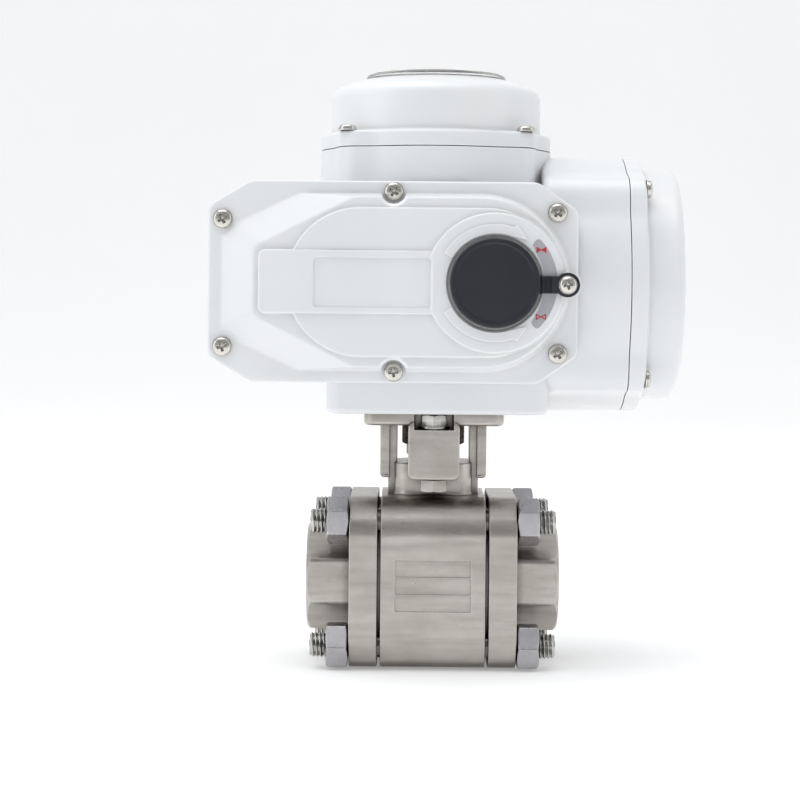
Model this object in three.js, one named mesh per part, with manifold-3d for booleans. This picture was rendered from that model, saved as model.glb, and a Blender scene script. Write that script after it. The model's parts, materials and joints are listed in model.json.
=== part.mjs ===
// Electric quarter-turn actuator on a three-piece DN20 stainless ball valve.
// Millimetres, +Z up. The origin is on the stem axis, at the underside of the valve.
// +X runs along the pipe towards the terminal cover, -Y faces the front cover.
import * as THREE from 'three';
import { mergeVertices } from 'three/addons/utils/BufferGeometryUtils.js';
import Module from 'manifold-3d';

const wasm = await Module();
wasm.setup();

// ---------------------------------------------------------------- driving dimensions
const GAP = 0.3; // between pieces that rest on each other
const SCREW_M3 = 1.5;
const SCREW_M5 = 2.5;
const STUD_M8 = 4;

// valve
const VALVE_SIDE = 53.9; // height and depth of the body and cap squares
const FLOW_Z = VALVE_SIDE / 2;
const CORNER_R = 12;
const BODY_X = 16.4; // half length of the centre body
const CAP_X = [17.4, 26.2]; // cap flange
const END_X = 40; // half of the 80 mm face to face
const SOCKET_AF = 33; // octagonal pipe end across flats
const SOCKET_R = 12.3; // threaded pipe socket
const SOCKET_X = 26; // where the socket starts
const PORT_R = 10; // full bore of a DN20 valve
const BALL_R = 16.2;
const STUD_AT = 19.5; // stud centres from the flow axis, in Y and Z
const STUD_END = 38.4;
const NUT_AF = 13;
const NUT_H = 6.8;
const PAD_TOP = 81.1; // top of the mounting pad under the actuator
const PAD_T = 4.6;
const PAD_HALF = 22;
const PAD_SCREWS = 12.73; // 36 mm bolt circle at 45 degrees
const NECK_HALF = 12.4;
const NECK_TOP = 64;
const LUG = { x: 8.05, front: -23.5, back: -11, z: [59.6, 77.6], bolt: -18, seat: 75.2 };

// actuator
const BASE_Z = 81.4;
const WORM = { x: 17.4, z: 121.3 };
const MOTOR_X = -39.1;
const GEAR_1_X = -19.1;
const GEAR_2_X = -1.1;
const DRUM_Z = 121.4; // axis of the round terminal housing
const HOUSING_FRONT = -41.6;
const HOUSING_REAR = 27;
const COVER_BACK = -42;
const COVER_FACE = -46; // front of the flange that the cover screws sit on
const PLATEAU_FACE = -52;
const RIM_FACE = -53.2;
const HUB_FACE = -54.4;
const DRUM = { r: 40.7, side: 33.9 }; // a circle joined with a square that carries the cover screws
const TERMINAL_SEAM = 59.4;
const TERMINAL_FLANGE = 65; // seat of the terminal cover's screws
const TOWER = { r: 37, side: 31.1 };
const TOWER_TOP = 163.1;
const TOWER_FLANGE = 168.4; // seat of the indicator cover's screws
const OCTAGON = { left: -69, right: 42.2, low: 90.8, high: 151.9, cutLeft: [12.7, 7.8], cutRight: [12.2, 8.6] };
const FRONT_SCREWS = [[-64.8, 140.5], [-65, 102.4], [-13.1, 148.4], [-13.1, 94.5], [36.2, 142.8], [36.1, 99.4]];
const TERMINAL_SCREW_AT = 29.3;
const TOWER_SCREW_AT = 27.7;
const WINDOW_R = 22.4;
const WINDOW_SEAT = 186.4; // top of the indicator cover, under the rim of the window
const TETHER_SCREW = [39, 120.9];
const STRAP = { front: -56, back: -54.7, low: 118.3, high: 123.5 }; // rubber strap of the port cap
const CAP_HINGE_X = 32.5; // the strap folds forwards about this line, just in front of its face
const SWITCH_Z = [151, 156];
const CAM_LIFT = 1.2;

// gear train, all of module 1
const ADDENDUM = 0.8;
const DEDENDUM = 1.1;
const PINION_TEETH = 10;
const GEAR_1_TEETH = 30;
const GEAR_2_TEETH = 26;
const SPUR_TEETH = 27;
const WHEEL_TEETH = 26;
const WHEEL_PITCH_R = WHEEL_TEETH / 2;
const WORM_PITCH_R = WORM.x - WHEEL_PITCH_R;
const WORM_LEAD = Math.PI;
const PLATE_Y = [-33.6, -32]; // the plate that carries the motor and the gear arbors
const LAYERS = [[-37.5, -34], [-42, -38], [-46.5, -42.5]]; // gear layers, from the gear plate forwards

// colours
const PAINT = { color: 0xe4e7ea, roughness: 0.35, metalness: 0 };
const CAST_STEEL = { color: 0xa59e96, roughness: 0.55, metalness: 0.9 };
const STEEL = { color: 0xb9b8b4, roughness: 0.3, metalness: 1 };
const DARK_STEEL = { color: 0x4a4b4d, roughness: 0.45, metalness: 0.9 };
const RUBBER = { color: 0x20242e, roughness: 0.6, metalness: 0 };
const BRONZE = { color: 0xb08a4a, roughness: 0.4, metalness: 1 };
const PTFE = { color: 0xf0eee8, roughness: 0.6, metalness: 0 };
const CLEAR = { color: 0xcfd8dc, roughness: 0.05, metalness: 0, transparent: true, opacity: 0.35 };
const BLACK_PLASTIC = { color: 0x1c1d20, roughness: 0.5, metalness: 0 };
const YELLOW_PLASTIC = { color: 0xe0b020, roughness: 0.5, metalness: 0 };
const ZINC = { color: 0xc5c9cc, roughness: 0.35, metalness: 1 };

// ---------------------------------------------------------------- shapes and solids
const radians = THREE.MathUtils.degToRad;

function arc(u, v, r, from, to, steps) {
  return Array.from({ length: steps + 1 }, (_, i) => {
    const a = radians(from + ((to - from) * i) / steps);
    return new THREE.Vector2(u + r * Math.cos(a), v + r * Math.sin(a));
  });
}

function circle(u, v, r, sides = 32) {
  return arc(u, v, r, 0, 360, sides).slice(0, -1);
}

function roundedRect(u0, u1, v0, v1, r, steps = 5) {
  return [
    ...arc(u1 - r, v1 - r, r, 0, 90, steps),
    ...arc(u0 + r, v1 - r, r, 90, 180, steps),
    ...arc(u0 + r, v0 + r, r, 180, 270, steps),
    ...arc(u1 - r, v0 + r, r, 270, 360, steps),
  ];
}

function points(list) {
  return list.map(([u, v]) => new THREE.Vector2(u, v));
}

// a regular polygon of the given width across flats, with a flat facing +u when turn is 0
function acrossFlats(u, v, width, sides, turn = 0) {
  const corner = width / 2 / Math.cos(Math.PI / sides);
  return arc(u, v, corner, 180 / sides + turn, 360 + 180 / sides + turn, sides).slice(0, -1);
}

// joins equal corners, drops triangles without area and turns the faces outwards
function solid(geometry) {
  geometry.deleteAttribute('normal');
  geometry.deleteAttribute('uv');
  const merged = mergeVertices(geometry, 1e-4);
  const at = merged.attributes.position;
  const [a, b, c] = [new THREE.Vector3(), new THREE.Vector3(), new THREE.Vector3()];
  const triangles = [];
  let volume = 0;
  for (let i = 0; i < merged.index.count; i += 3) {
    const [p, q, r] = [merged.index.getX(i), merged.index.getX(i + 1), merged.index.getX(i + 2)];
    if (p !== q && q !== r && r !== p) {
      triangles.push([p, q, r]);
      volume += a.fromBufferAttribute(at, p).dot(b.fromBufferAttribute(at, q).cross(c.fromBufferAttribute(at, r)));
    }
  }
  const facing = volume > 0 ? triangles : triangles.map(([p, q, r]) => [p, r, q]);
  return new wasm.Manifold(new wasm.Mesh({
    numProp: 3,
    vertProperties: new Float32Array(at.array),
    triVerts: new Uint32Array(facing.flat()),
  }));
}

// turns a solid made along +Z so that it runs along another axis
function alongAxis(geometry, axis) {
  if (axis === 'y') geometry.rotateX(Math.PI / 2);
  if (axis === 'x') geometry.applyMatrix4(new THREE.Matrix4().set(0, 0, 1, 0, 1, 0, 0, 0, 0, 1, 0, 0, 0, 0, 0, 1));
  return geometry;
}

// an outline drawn in (y, z), (x, z) or (x, y), pushed along x, y or z between two places
function extrude(outline, axis, from, to, { bevel = 0, holes = [] } = {}) {
  const shape = new THREE.Shape(outline);
  shape.holes = holes.map((hole) => new THREE.Path(hole));
  const geometry = new THREE.ExtrudeGeometry(shape, {
    depth: to - from - 2 * bevel,
    bevelEnabled: bevel > 0,
    bevelThickness: bevel,
    bevelSize: bevel,
    bevelOffset: -bevel,
    bevelSegments: 1,
  });
  geometry.translate(0, 0, axis === 'y' ? bevel - to : bevel + from);
  return solid(alongAxis(geometry, axis));
}

// an outline that changes into another one with the same number of corners
function loft(lower, upper, axis, from, to) {
  const geometry = new THREE.ExtrudeGeometry(new THREE.Shape(lower), { depth: 1, bevelEnabled: false });
  const at = geometry.attributes.position;
  for (let i = 0; i < at.count; i += 1) {
    const far = at.getZ(i) > 0.5;
    const index = lower.findIndex((p) => Math.hypot(p.x - at.getX(i), p.y - at.getY(i)) < 1e-4);
    const corner = far ? upper[index] : lower[index];
    at.setXYZ(i, corner.x, corner.y, far ? to : from);
  }
  if (axis === 'y') at.array.forEach((value, i) => { if (i % 3 === 2) at.array[i] = -value; });
  return solid(alongAxis(geometry, axis));
}

// a profile of [radius, height] turned about an axis through a centre
function turned(profile, axis, [x, y, z], sides = 28) {
  const geometry = new THREE.LatheGeometry(points(profile), sides);
  geometry.rotateX(Math.PI / 2);
  if (axis === 'y') geometry.rotateX(-Math.PI / 2);
  if (axis === 'x') geometry.rotateY(Math.PI / 2);
  return solid(geometry.translate(x, y, z));
}

const join = (first, ...others) => others.reduce((sum, other) => sum.add(other), first);
const cut = (first, ...others) => others.reduce((rest, other) => rest.subtract(other), first);
const rod = (axis, u, v, r, from, to, sides = 20) => extrude(circle(u, v, r, sides), axis, from, to);
const block = (x0, x1, y0, y1, z0, z1) => extrude(points([[x0, y0], [x1, y0], [x1, y1], [x0, y1]]), 'z', z0, z1);

const group = new THREE.Group();

function part(name, body, look) {
  const { vertProperties, triVerts } = body.getMesh();
  const geometry = new THREE.BufferGeometry();
  geometry.setAttribute('position', new THREE.BufferAttribute(vertProperties, 3));
  geometry.setIndex(new THREE.BufferAttribute(triVerts, 1));
  const mesh = new THREE.Mesh(geometry, new THREE.MeshStandardMaterial(look));
  mesh.name = name;
  group.add(mesh);
}

// ---------------------------------------------------------------- valve
const valveSquare = roundedRect(-FLOW_Z, FLOW_Z, 0, VALVE_SIDE, CORNER_R, 7);
const studPlaces = [[-1, 1], [1, 1], [-1, -1], [1, -1]].map(([y, z]) => [y * STUD_AT, FLOW_Z + z * STUD_AT]);
const padScrewPlaces = [[-1, -1], [1, -1], [-1, 1], [1, 1]].map(([x, y]) => [x * PAD_SCREWS, y * PAD_SCREWS]);

function valveBody() {
  const centre = extrude(valveSquare, 'x', -BODY_X, BODY_X);
  const neck = extrude(roundedRect(-NECK_HALF, NECK_HALF, -NECK_HALF, NECK_HALF, 6), 'z', 45, NECK_TOP);
  const web = points([[11.5, 78], [11.5, 50], [16.2, 50], [14.4, 54.5], [14.4, 78]]);
  const mirrored = web.map((p) => new THREE.Vector2(-p.x, p.y)).reverse();
  const columns = [web, mirrored].map((outline) => extrude(outline, 'y', -6.2, 6.2));
  const columnEdges = [-15.4, 15.4].map((x) => block(x - 1.6, x + 1.6, -7, 7, 59, 78));
  const pad = extrude(roundedRect(-PAD_HALF, PAD_HALF, -PAD_HALF, PAD_HALF, 4), 'z', PAD_TOP - PAD_T, PAD_TOP);
  const lug = extrude(roundedRect(-LUG.x, LUG.x, ...LUG.z, 1.2, 2), 'y', LUG.front, LUG.back, { bevel: 0.8 });
  const cuts = [
    rod('x', 0, FLOW_Z, BALL_R + 1.3, -BODY_X - 1, BODY_X + 1, 32),
    ...studPlaces.map(([y, z]) => rod('x', y, z, STUD_M8 + 0.4, -BODY_X - 1, BODY_X + 1, 12)),
    rod('z', 0, 0, 7.5, 40, 48.3),
    rod('z', 0, 0, 5.4, 47, 57),
    rod('z', 0, 0, 8.2, 56, NECK_TOP + 1),
    rod('z', 0, 0, 10.5, PAD_TOP - PAD_T - 1, PAD_TOP + 1),
    rod('z', 0, LUG.bolt, SCREW_M5 + GAP, 57, 82, 10),
    block(-6.25, 6.25, LUG.front - 1, -12.5, LUG.seat, PAD_TOP + 1),
    ...padScrewPlaces.map(([x, y]) => rod('z', x, y, SCREW_M5 + GAP, PAD_TOP - PAD_T - 1, PAD_TOP + 1, 10)),
    block(-12, 12, -FLOW_Z - 1, -FLOW_Z + 0.4, FLOW_Z - 8, FLOW_Z + 8),
  ];
  return cut(join(centre, neck, ...columns, ...columnEdges, pad, lug), ...cuts);
}

// the left cap is the right cap turned half a turn about the stem axis
function endCap(side) {
  const span = (from, to) => (side > 0 ? [from, to] : [-to, -from]);
  const flange = extrude(valveSquare, 'x', ...span(...CAP_X));
  const octagon = acrossFlats(0, FLOW_Z, SOCKET_AF, 8);
  const end = extrude(octagon, 'x', ...span(CAP_X[1] - 3, END_X), { bevel: 1.2 });
  const cuts = [
    rod('x', 0, FLOW_Z, PORT_R, -END_X - 1, END_X + 1, 24),
    rod('x', 0, FLOW_Z, SOCKET_R, ...span(SOCKET_X, END_X + 1), 24),
    ...studPlaces.map(([y, z]) => rod('x', y, z, STUD_M8 + 0.4, ...span(CAP_X[0] - 1, CAP_X[1] + 1), 12)),
  ];
  return cut(join(flange, end), ...cuts);
}

// the front and rear nuts are turned differently, as they come to rest when tightened
function bodyStud(index) {
  const [y, z] = studPlaces[index];
  const stud = rod('x', y, z, STUD_M8, -STUD_END, STUD_END, 12);
  const nut = acrossFlats(y, z, NUT_AF, 6, [0, 12, 30, 21][index]);
  const nuts = [1, -1].map((side) => {
    const ends = [side * (CAP_X[1] + GAP), side * (CAP_X[1] + GAP + NUT_H)].sort((a, b) => a - b);
    return extrude(nut, 'x', ...ends);
  });
  return join(stud, ...nuts);
}

function seatRing(side) {
  const ballFace = BALL_R + GAP;
  const outer = 17.2;
  const inner = PORT_R + 0.2;
  const back = 17.1;
  const nose = 9.5;
  const steps = 3;
  const innerAngle = Math.asin(inner / ballFace);
  const noseAngle = Math.acos(nose / ballFace);
  const curve = Array.from({ length: steps + 1 }, (_, i) => {
    const a = noseAngle + ((innerAngle - noseAngle) * i) / steps;
    return [ballFace * Math.sin(a), side * ballFace * Math.cos(a)];
  });
  const profile = [[inner, side * back], [outer, side * back], [outer, side * nose], ...curve];
  return turned([...profile, profile[0]], 'x', [0, 0, FLOW_Z], 20);
}

function bodySeal(side) {
  const faces = [side * (BODY_X + 0.1), side * (CAP_X[0] - 0.1)];
  const profile = [[18, faces[0]], [22.5, faces[0]], [22.5, faces[1]], [18, faces[1]], [18, faces[0]]];
  return turned(profile, 'x', [0, 0, FLOW_Z], 20);
}

function ball() {
  const sphere = solid(new THREE.SphereGeometry(BALL_R, 24, 12).rotateX(Math.PI / 2).translate(0, 0, FLOW_Z));
  const slot = block(-3, 3, -9, 9, FLOW_Z + 12, FLOW_Z + BALL_R + 1);
  return cut(sphere, rod('x', 0, FLOW_Z, PORT_R, -BALL_R - 1, BALL_R + 1, 24), slot);
}

function valveStem() {
  const tang = block(-2.6, 2.6, -6, 6, FLOW_Z + 12.6, 44.5);
  const collar = rod('z', 0, 0, 7.1, 44, 47.8);
  const shank = rod('z', 0, 0, 5, 47, 76);
  const square = extrude(acrossFlats(0, 0, 7, 4), 'z', 75, 93);
  return join(tang, collar, shank, square);
}

function washerStack(inner, outer, from, to, sides = 20) {
  return extrude(circle(0, 0, outer, sides), 'z', from, to, { holes: [circle(0, 0, inner, sides)] });
}

function stemNut() {
  return extrude(acrossFlats(0, 0, 17.6, 6, 30), 'z', 69.2, 76.2, { holes: [circle(0, 0, 5.3, 20)] });
}

function stopBolt() {
  const head = extrude(acrossFlats(0, LUG.bolt, 8, 6), 'z', LUG.z[0] - GAP - 3.6, LUG.z[0] - GAP);
  return join(head, rod('z', 0, LUG.bolt, SCREW_M5, LUG.z[0] - 1, LUG.seat + 5.4, 16));
}

function stopNut() {
  const washer = rod('z', 0, LUG.bolt, 5, LUG.seat + GAP, LUG.seat + GAP + 0.8, 20);
  const nut = extrude(acrossFlats(0, LUG.bolt, 8, 6, 30), 'z', LUG.seat + 1, LUG.seat + 4.6);
  return cut(join(washer, nut), rod('z', 0, LUG.bolt, SCREW_M5 + GAP, 70, 90, 16));
}

function padScrew([x, y]) {
  const shank = rod('z', x, y, SCREW_M5, PAD_TOP - PAD_T, 88, 12);
  const head = rod('z', x, y, 4.25, 87.3, 91.8, 16);
  return cut(join(shank, head), extrude(acrossFlats(x, y, 4, 6), 'z', 89.6, 93));
}

// ---------------------------------------------------------------- castings and covers
// the eight-sided outline of the front cover, pulled in by an inset
function octagon(inset) {
  const [x0, x1] = [OCTAGON.left + inset, OCTAGON.right - inset];
  const [z0, z1] = [OCTAGON.low + inset, OCTAGON.high - inset];
  const [lx, lz] = OCTAGON.cutLeft;
  const [rx, rz] = OCTAGON.cutRight;
  return points([
    [x0 + lx, z0], [x1 - rx, z0], [x1, z0 + rz], [x1, z1 - rz],
    [x1 - rx, z1], [x0 + lx, z1], [x0, z1 - lz], [x0, z0 + lz],
  ]);
}

// a round housing with four lobes for the cover screws
function lobed(axis, centreV, r, side, from, to) {
  const square = roundedRect(-side, side, centreV - side, centreV + side, 8);
  return join(rod(axis, 0, centreV, r, from, to, 48), extrude(square, axis, from, to));
}

const terminalScrews = [[-1, -1], [1, -1], [-1, 1], [1, 1]]
  .map(([y, z]) => [y * TERMINAL_SCREW_AT, DRUM_Z + z * TERMINAL_SCREW_AT]);
const towerScrews = [[-1, -1], [1, -1], [-1, 1], [1, 1]].map(([x, y]) => [x * TOWER_SCREW_AT, y * TOWER_SCREW_AT]);
const glandPlaces = [-13.5, 13.5].map((dz) => [48.9, DRUM_Z + dz]);
const stopScrewPlaces = [[-16, 96.5], [16, 96.5]];

function gearHousing() {
  const outside = [
    extrude(octagon(1.5), 'y', HOUSING_FRONT, HOUSING_REAR, { bevel: 1 }),
    extrude(octagon(0), 'y', HOUSING_FRONT, HOUSING_FRONT + 4.4),
    lobed('x', DRUM_Z, DRUM.r, DRUM.side, 33, TERMINAL_SEAM),
    lobed('z', 0, TOWER.r, TOWER.side, 100, TOWER_TOP),
    extrude(roundedRect(-33.5, 35.1, -34.3, 34.3, 5), 'z', BASE_Z, 101),
    ...glandPlaces.map(([x, z]) => rod('y', x, z, 10.3, 30, 43)),
  ];
  const inside = [
    extrude(octagon(4.5), 'y', HOUSING_FRONT - 1, PLATE_Y[1] + GAP),
    rod('y', MOTOR_X, WORM.z, 21.5, -33.5, 23.5, 28),
    rod('z', 0, 0, 22.8, 87, 146, 28),
    rod('z', 0, 0, 27, 145, TOWER_TOP + 1, 32),
    rod('y', WORM.x, WORM.z, 5.6, -33.5, 24, 20),
    rod('y', WORM.x, WORM.z, 6.6, -34, -27),
    rod('x', 0, DRUM_Z, 36.5, 39.5, TERMINAL_SEAM + 1, 40),
    rod('x', 13, 138, 5, 15, 41, 12),
    rod('z', 0, 0, 12.3, BASE_Z - 1, 88, 24),
    ...glandPlaces.map(([x, z]) => rod('y', x, z, 7.8, 28, 44, 16)),
    ...stopScrewPlaces.map(([x, z]) => rod('y', x, z, SCREW_M5 + GAP, 10, 36, 10)),
    ...padScrewPlaces.map(([x, y]) => rod('z', x, y, SCREW_M5 + GAP, BASE_Z - 1, 88, 10)),
  ];
  return cut(join(...outside), ...inside);
}

// the raised panel narrows towards the viewer: one outline at its foot and one at its face;
// each is given by its upper left edge, in x and in height above the port's axis
const PANEL_FOOT = [[-65, 13.9], [-61.4, 17.5], [-41.9, 26.6]];
const PANEL_FACE = [[-55, 10.2], [-54.2, 10.7], [-24.6, 25.5]];
const PANEL_HOLLOW = [[-55, 9], [-51.4, 12.6], [-36, 23]];

function panel(edge, r) {
  const z = WORM.z;
  const upper = edge.map(([x, dz]) => [x, z + dz]).reverse();
  const lower = edge.map(([x, dz]) => [x, z - dz]);
  return [...arc(13.5, z, r, -90, 90, 16), ...points([...upper, ...lower])];
}

function frontCover() {
  const z = WORM.z;
  const rim = [...arc(15.1, z, 22.3, -90, 90, 16), ...arc(-22.7, z, 22.3, 90, 270, 16)];
  const bar = roundedRect(-53.2, 10, z - 9.5, z + 9.5, 0.9, 2);
  const outside = [
    extrude(octagon(0), 'y', COVER_FACE, COVER_BACK),
    loft(panel(PANEL_FOOT, 26.6), panel(PANEL_FACE, 25.5), 'y', COVER_FACE, PLATEAU_FACE),
    extrude(rim, 'y', RIM_FACE, PLATEAU_FACE + 1),
    extrude(bar, 'y', HUB_FACE + 0.4, PLATEAU_FACE + 1),
    rod('y', WORM.x, z, 20.9, HUB_FACE, PLATEAU_FACE + 1, 40),
    rod('y', ...TETHER_SCREW, 3.9, HUB_FACE, COVER_FACE + 1),
  ];
  const inside = [
    extrude(panel(PANEL_HOLLOW, 23), 'y', -49.5, COVER_BACK + 1),
    rod('y', WORM.x, z, 14.3, HUB_FACE - 1, -53, 36),
    rod('y', WORM.x, z, 12.5, -54, -49, 28),
    extrude(roundedRect(-36.8, -1.7, z - 7.6, z + 7.3, 1, 2), 'y', HUB_FACE - 1, HUB_FACE + 0.9),
    ...FRONT_SCREWS.slice(2, 4).map(([x, v]) => rod('y', x, v, 3.8, HUB_FACE - 1, COVER_FACE, 20)),
    ...FRONT_SCREWS.map(([x, v]) => rod('y', x, v, SCREW_M3 + GAP, HUB_FACE - 1, COVER_BACK + 1, 8)),
    rod('y', ...TETHER_SCREW, SCREW_M3 + GAP, HUB_FACE - 1, COVER_FACE + 1, 8),
  ];
  return cut(join(...outside), ...inside);
}

function indicatorCover() {
  const base = TOWER_TOP + 0.4;
  const shell = turned([
    [30.5, base], [33.65, base], [33.65, 181], [31.9, 183.4], [WINDOW_R + 0.5, WINDOW_SEAT], [20.2, WINDOW_SEAT],
    [20.2, 184.2], [30.5, 178.6], [30.5, base],
  ], 'z', [0, 0, 0], 40);
  const flange = cut(lobed('z', 0, TOWER.r, TOWER.side, base, TOWER_FLANGE), rod('z', 0, 0, 32, base - 1, 170, 40));
  const holes = towerScrews.map(([x, y]) => rod('z', x, y, SCREW_M3 + GAP, base - 1, 170, 8));
  return cut(join(shell, flange), ...holes);
}

// a shallow clear dome whose rim rests on the cover and whose skirt stands in the opening
function indicatorWindow() {
  const rim = WINDOW_SEAT + GAP;
  return turned([
    [0, 190], [12, 189.4], [21.2, 188.3], [WINDOW_R, 187.6], [WINDOW_R, rim], [19.9, rim], [19.9, 185.2],
    [18.6, 185.2], [18.6, rim], [10, 188], [0, 188.4],
  ], 'z', [0, 0, 0], 28);
}

function terminalCover() {
  const base = TERMINAL_SEAM + 0.4;
  const drum = turned([[0, base], [37, base], [37, 75.2], [36.3, 76.3], [35, 76.8], [0, 76.8]], 'x', [0, 0, DRUM_Z], 48);
  const hollow = turned([[0, base - 1], [34, base - 1], [34, 72.4], [32.5, 73.8], [0, 73.8]], 'x', [0, 0, DRUM_Z], 28);
  const holes = terminalScrews.map(([y, z]) => rod('x', y, z, SCREW_M3 + GAP, base - 1, 66, 8));
  return cut(join(drum, lobed('x', DRUM_Z, DRUM.r, DRUM.side, base, TERMINAL_FLANGE)), hollow, ...holes);
}

// ---------------------------------------------------------------- manual override port
function portCap() {
  const disc = turned([[0, -57], [12.6, -57], [13.45, -56.2], [13.45, -53.3], [11.2, -53.3], [10.6, -51.2], [0, -51.2]],
    'y', [WORM.x, 0, WORM.z], 32);
  const tab = block(28, CAP_HINGE_X - 0.2, STRAP.front, STRAP.back, STRAP.low, STRAP.high);
  return join(disc, tab);
}

function capTether() {
  const [x, z] = TETHER_SCREW;
  const strap = block(CAP_HINGE_X + 0.2, x, STRAP.front, STRAP.back, STRAP.low, STRAP.high);
  const eyelet = rod('y', x, z, 3.7, STRAP.front, STRAP.back);
  return cut(join(strap, eyelet), rod('y', x, z, SCREW_M3 + GAP, -60, -50, 12));
}

function tetherScrew() {
  const [x, z] = TETHER_SCREW;
  const head = rod('y', x, z, 2.75, -58.3, -56.3, 20);
  return join(head, rod('y', x, z, SCREW_M3, -57, -47, 12));
}

// ---------------------------------------------------------------- drive
// straight-sided teeth, slimmer than the spaces so that a pair runs with play
function gearOutline(teeth, u, v, phase) {
  const pitchR = teeth / 2;
  const rootR = pitchR - DEDENDUM;
  const tipR = pitchR + ADDENDUM;
  const corners = [[rootR, -0.74 / rootR], [tipR, -0.3 / tipR], [tipR, 0.3 / tipR], [rootR, 0.74 / rootR]];
  return Array.from({ length: teeth }, (_, i) => {
    const middle = phase + (i * 2 * Math.PI) / teeth;
    return corners.map(([r, a]) => new THREE.Vector2(u + r * Math.cos(middle + a), v + r * Math.sin(middle + a)));
  }).flat();
}

// the phase that puts a space at the far left, against a tooth of the gear before it
const facingSpace = (teeth) => Math.PI + Math.PI / teeth;

function motorBody() {
  const [nose, front, rear] = [PLATE_Y[0], PLATE_Y[1] + GAP, 21];
  return turned([
    [4, nose], [6.5, nose], [6.5, front], [19, front], [19, rear], [0, rear],
    [0, rear - 2], [16.5, rear - 2], [16.5, front + 2], [4, front + 2], [4, nose],
  ], 'y', [MOTOR_X, 0, WORM.z]);
}

function motorRotor() {
  const pinion = extrude(gearOutline(PINION_TEETH, MOTOR_X, WORM.z, 0), 'y', ...LAYERS[0]);
  const shaft = rod('y', MOTOR_X, WORM.z, 3, -38, 18, 16);
  return join(pinion, shaft, rod('y', MOTOR_X, WORM.z, 14, -24, 14, 24));
}

// a wheel in one layer and the pinion of the next stage in front of it
function reductionGear(x, teeth, layer) {
  const wheel = extrude(gearOutline(teeth, x, WORM.z, facingSpace(teeth)), 'y', ...LAYERS[layer]);
  const pinion = extrude(gearOutline(PINION_TEETH, x, WORM.z, 0), 'y', LAYERS[layer + 1][0], LAYERS[layer][1]);
  return cut(join(wheel, pinion), rod('y', x, WORM.z, 1.8, -50, -30, 16));
}

// the gear arbors are pressed into the plate, so they are one piece with it
function gearPlate() {
  const plate = cut(
    extrude(octagon(4.5 + GAP), 'y', ...PLATE_Y),
    rod('y', MOTOR_X, WORM.z, 7, -35, -31, 24),
    rod('y', WORM.x, WORM.z, 7.2, -35, -31, 24),
  );
  const arbors = [[GEAR_1_X, -42.4], [GEAR_2_X, -46.9]].map(([x, end]) => rod('y', x, WORM.z, 1.5, end, -33, 16));
  return join(plate, ...arbors);
}

function wormSpurGear() {
  const wheel = extrude(gearOutline(SPUR_TEETH, WORM.x, WORM.z, facingSpace(SPUR_TEETH)), 'y', ...LAYERS[2]);
  const hub = rod('y', WORM.x, WORM.z, 4.5, -42.6, -38.5);
  return cut(join(wheel, hub), rod('y', WORM.x, WORM.z, 3.3, -50, -30));
}

// the cross-section of a single-start thread, turned evenly along its length
function wormThread(from, to) {
  const rootR = WORM_PITCH_R - DEDENDUM;
  const tipR = WORM_PITCH_R + ADDENDUM;
  const sides = 10;
  const crest = 0.1;
  const flank = 0.26;
  const radiusAt = (share) => {
    const distance = Math.min(share, 1 - share);
    const climb = THREE.MathUtils.clamp((distance - crest) / (flank - crest), 0, 1);
    return tipR + (rootR - tipR) * climb;
  };
  const outline = Array.from({ length: sides }, (_, i) => {
    const r = radiusAt(i / sides);
    const a = (i * 2 * Math.PI) / sides;
    return new THREE.Vector2(r * Math.cos(a), r * Math.sin(a));
  });
  const steps = Math.round(((to - from) / WORM_LEAD) * 8);
  const geometry = new THREE.ExtrudeGeometry(new THREE.Shape(outline), { depth: to - from, bevelEnabled: false, steps });
  geometry.translate(0, 0, -to);
  alongAxis(geometry, 'y');
  const at = geometry.attributes.position;
  for (let i = 0; i < at.count; i += 1) {
    const twist = (2 * Math.PI * at.getY(i)) / WORM_LEAD;
    const [x, z] = [at.getX(i), at.getZ(i)];
    at.setX(i, WORM.x + x * Math.cos(twist) - z * Math.sin(twist));
    at.setZ(i, WORM.z + x * Math.sin(twist) + z * Math.cos(twist));
  }
  return solid(geometry);
}

function wormShaft() {
  const [from, to] = [-9, 9];
  const shaft = join(
    wormThread(from, to),
    rod('y', WORM.x, WORM.z, 3, -49.8, from + 0.4),
    rod('y', WORM.x, WORM.z, 3, to - 0.4, 23),
    rod('y', WORM.x, WORM.z, 4.4, -37.9, -33.5),
  );
  return cut(shaft, extrude(acrossFlats(WORM.x, WORM.z, 4, 6), 'y', -51, -45));
}

function wormBearing(outer, from, to) {
  const shape = circle(WORM.x, WORM.z, outer, 20);
  return extrude(shape, 'y', from, to, { holes: [circle(WORM.x, WORM.z, 3.3, 16)] });
}

// the wheel's teeth lean by the lead angle of the thread that drives them
function wormWheel() {
  const half = 5;
  const outline = gearOutline(WHEEL_TEETH, 0, 0, 0);
  const lean = WORM_LEAD / (2 * Math.PI * WORM_PITCH_R) / WHEEL_PITCH_R;
  const turn = (p, a) => new THREE.Vector2(p.x * Math.cos(a) - p.y * Math.sin(a), p.x * Math.sin(a) + p.y * Math.cos(a));
  const lower = outline.map((p) => turn(p, lean * half));
  const upper = outline.map((p) => turn(p, -lean * half));
  const rim = loft(lower, upper, 'z', WORM.z - half, WORM.z + half);
  return cut(rim, rod('z', 0, 0, 9.3, WORM.z - 9, WORM.z + 9, 24));
}

function outputShaft() {
  const lower = rod('z', 0, 0, 9.5, 82, 103, 24);
  const middle = rod('z', 0, 0, 9, 100, 132, 24);
  const upper = join(rod('z', 0, 0, 6, 130, 162), rod('z', 0, 0, 3, 160, 185, 12));
  const arms = [block(0, 20, -3.5, 3.5, 94, 99), block(-3.5, 3.5, -20, 0, 94, 99)];
  const socket = extrude(acrossFlats(0, 0, 7.6, 4), 'z', 81, 94);
  const shoulder = rod('z', 0, 0, 11.5, 110, 116, 24);
  return cut(join(lower, middle, upper, shoulder, ...arms), socket);
}

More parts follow.
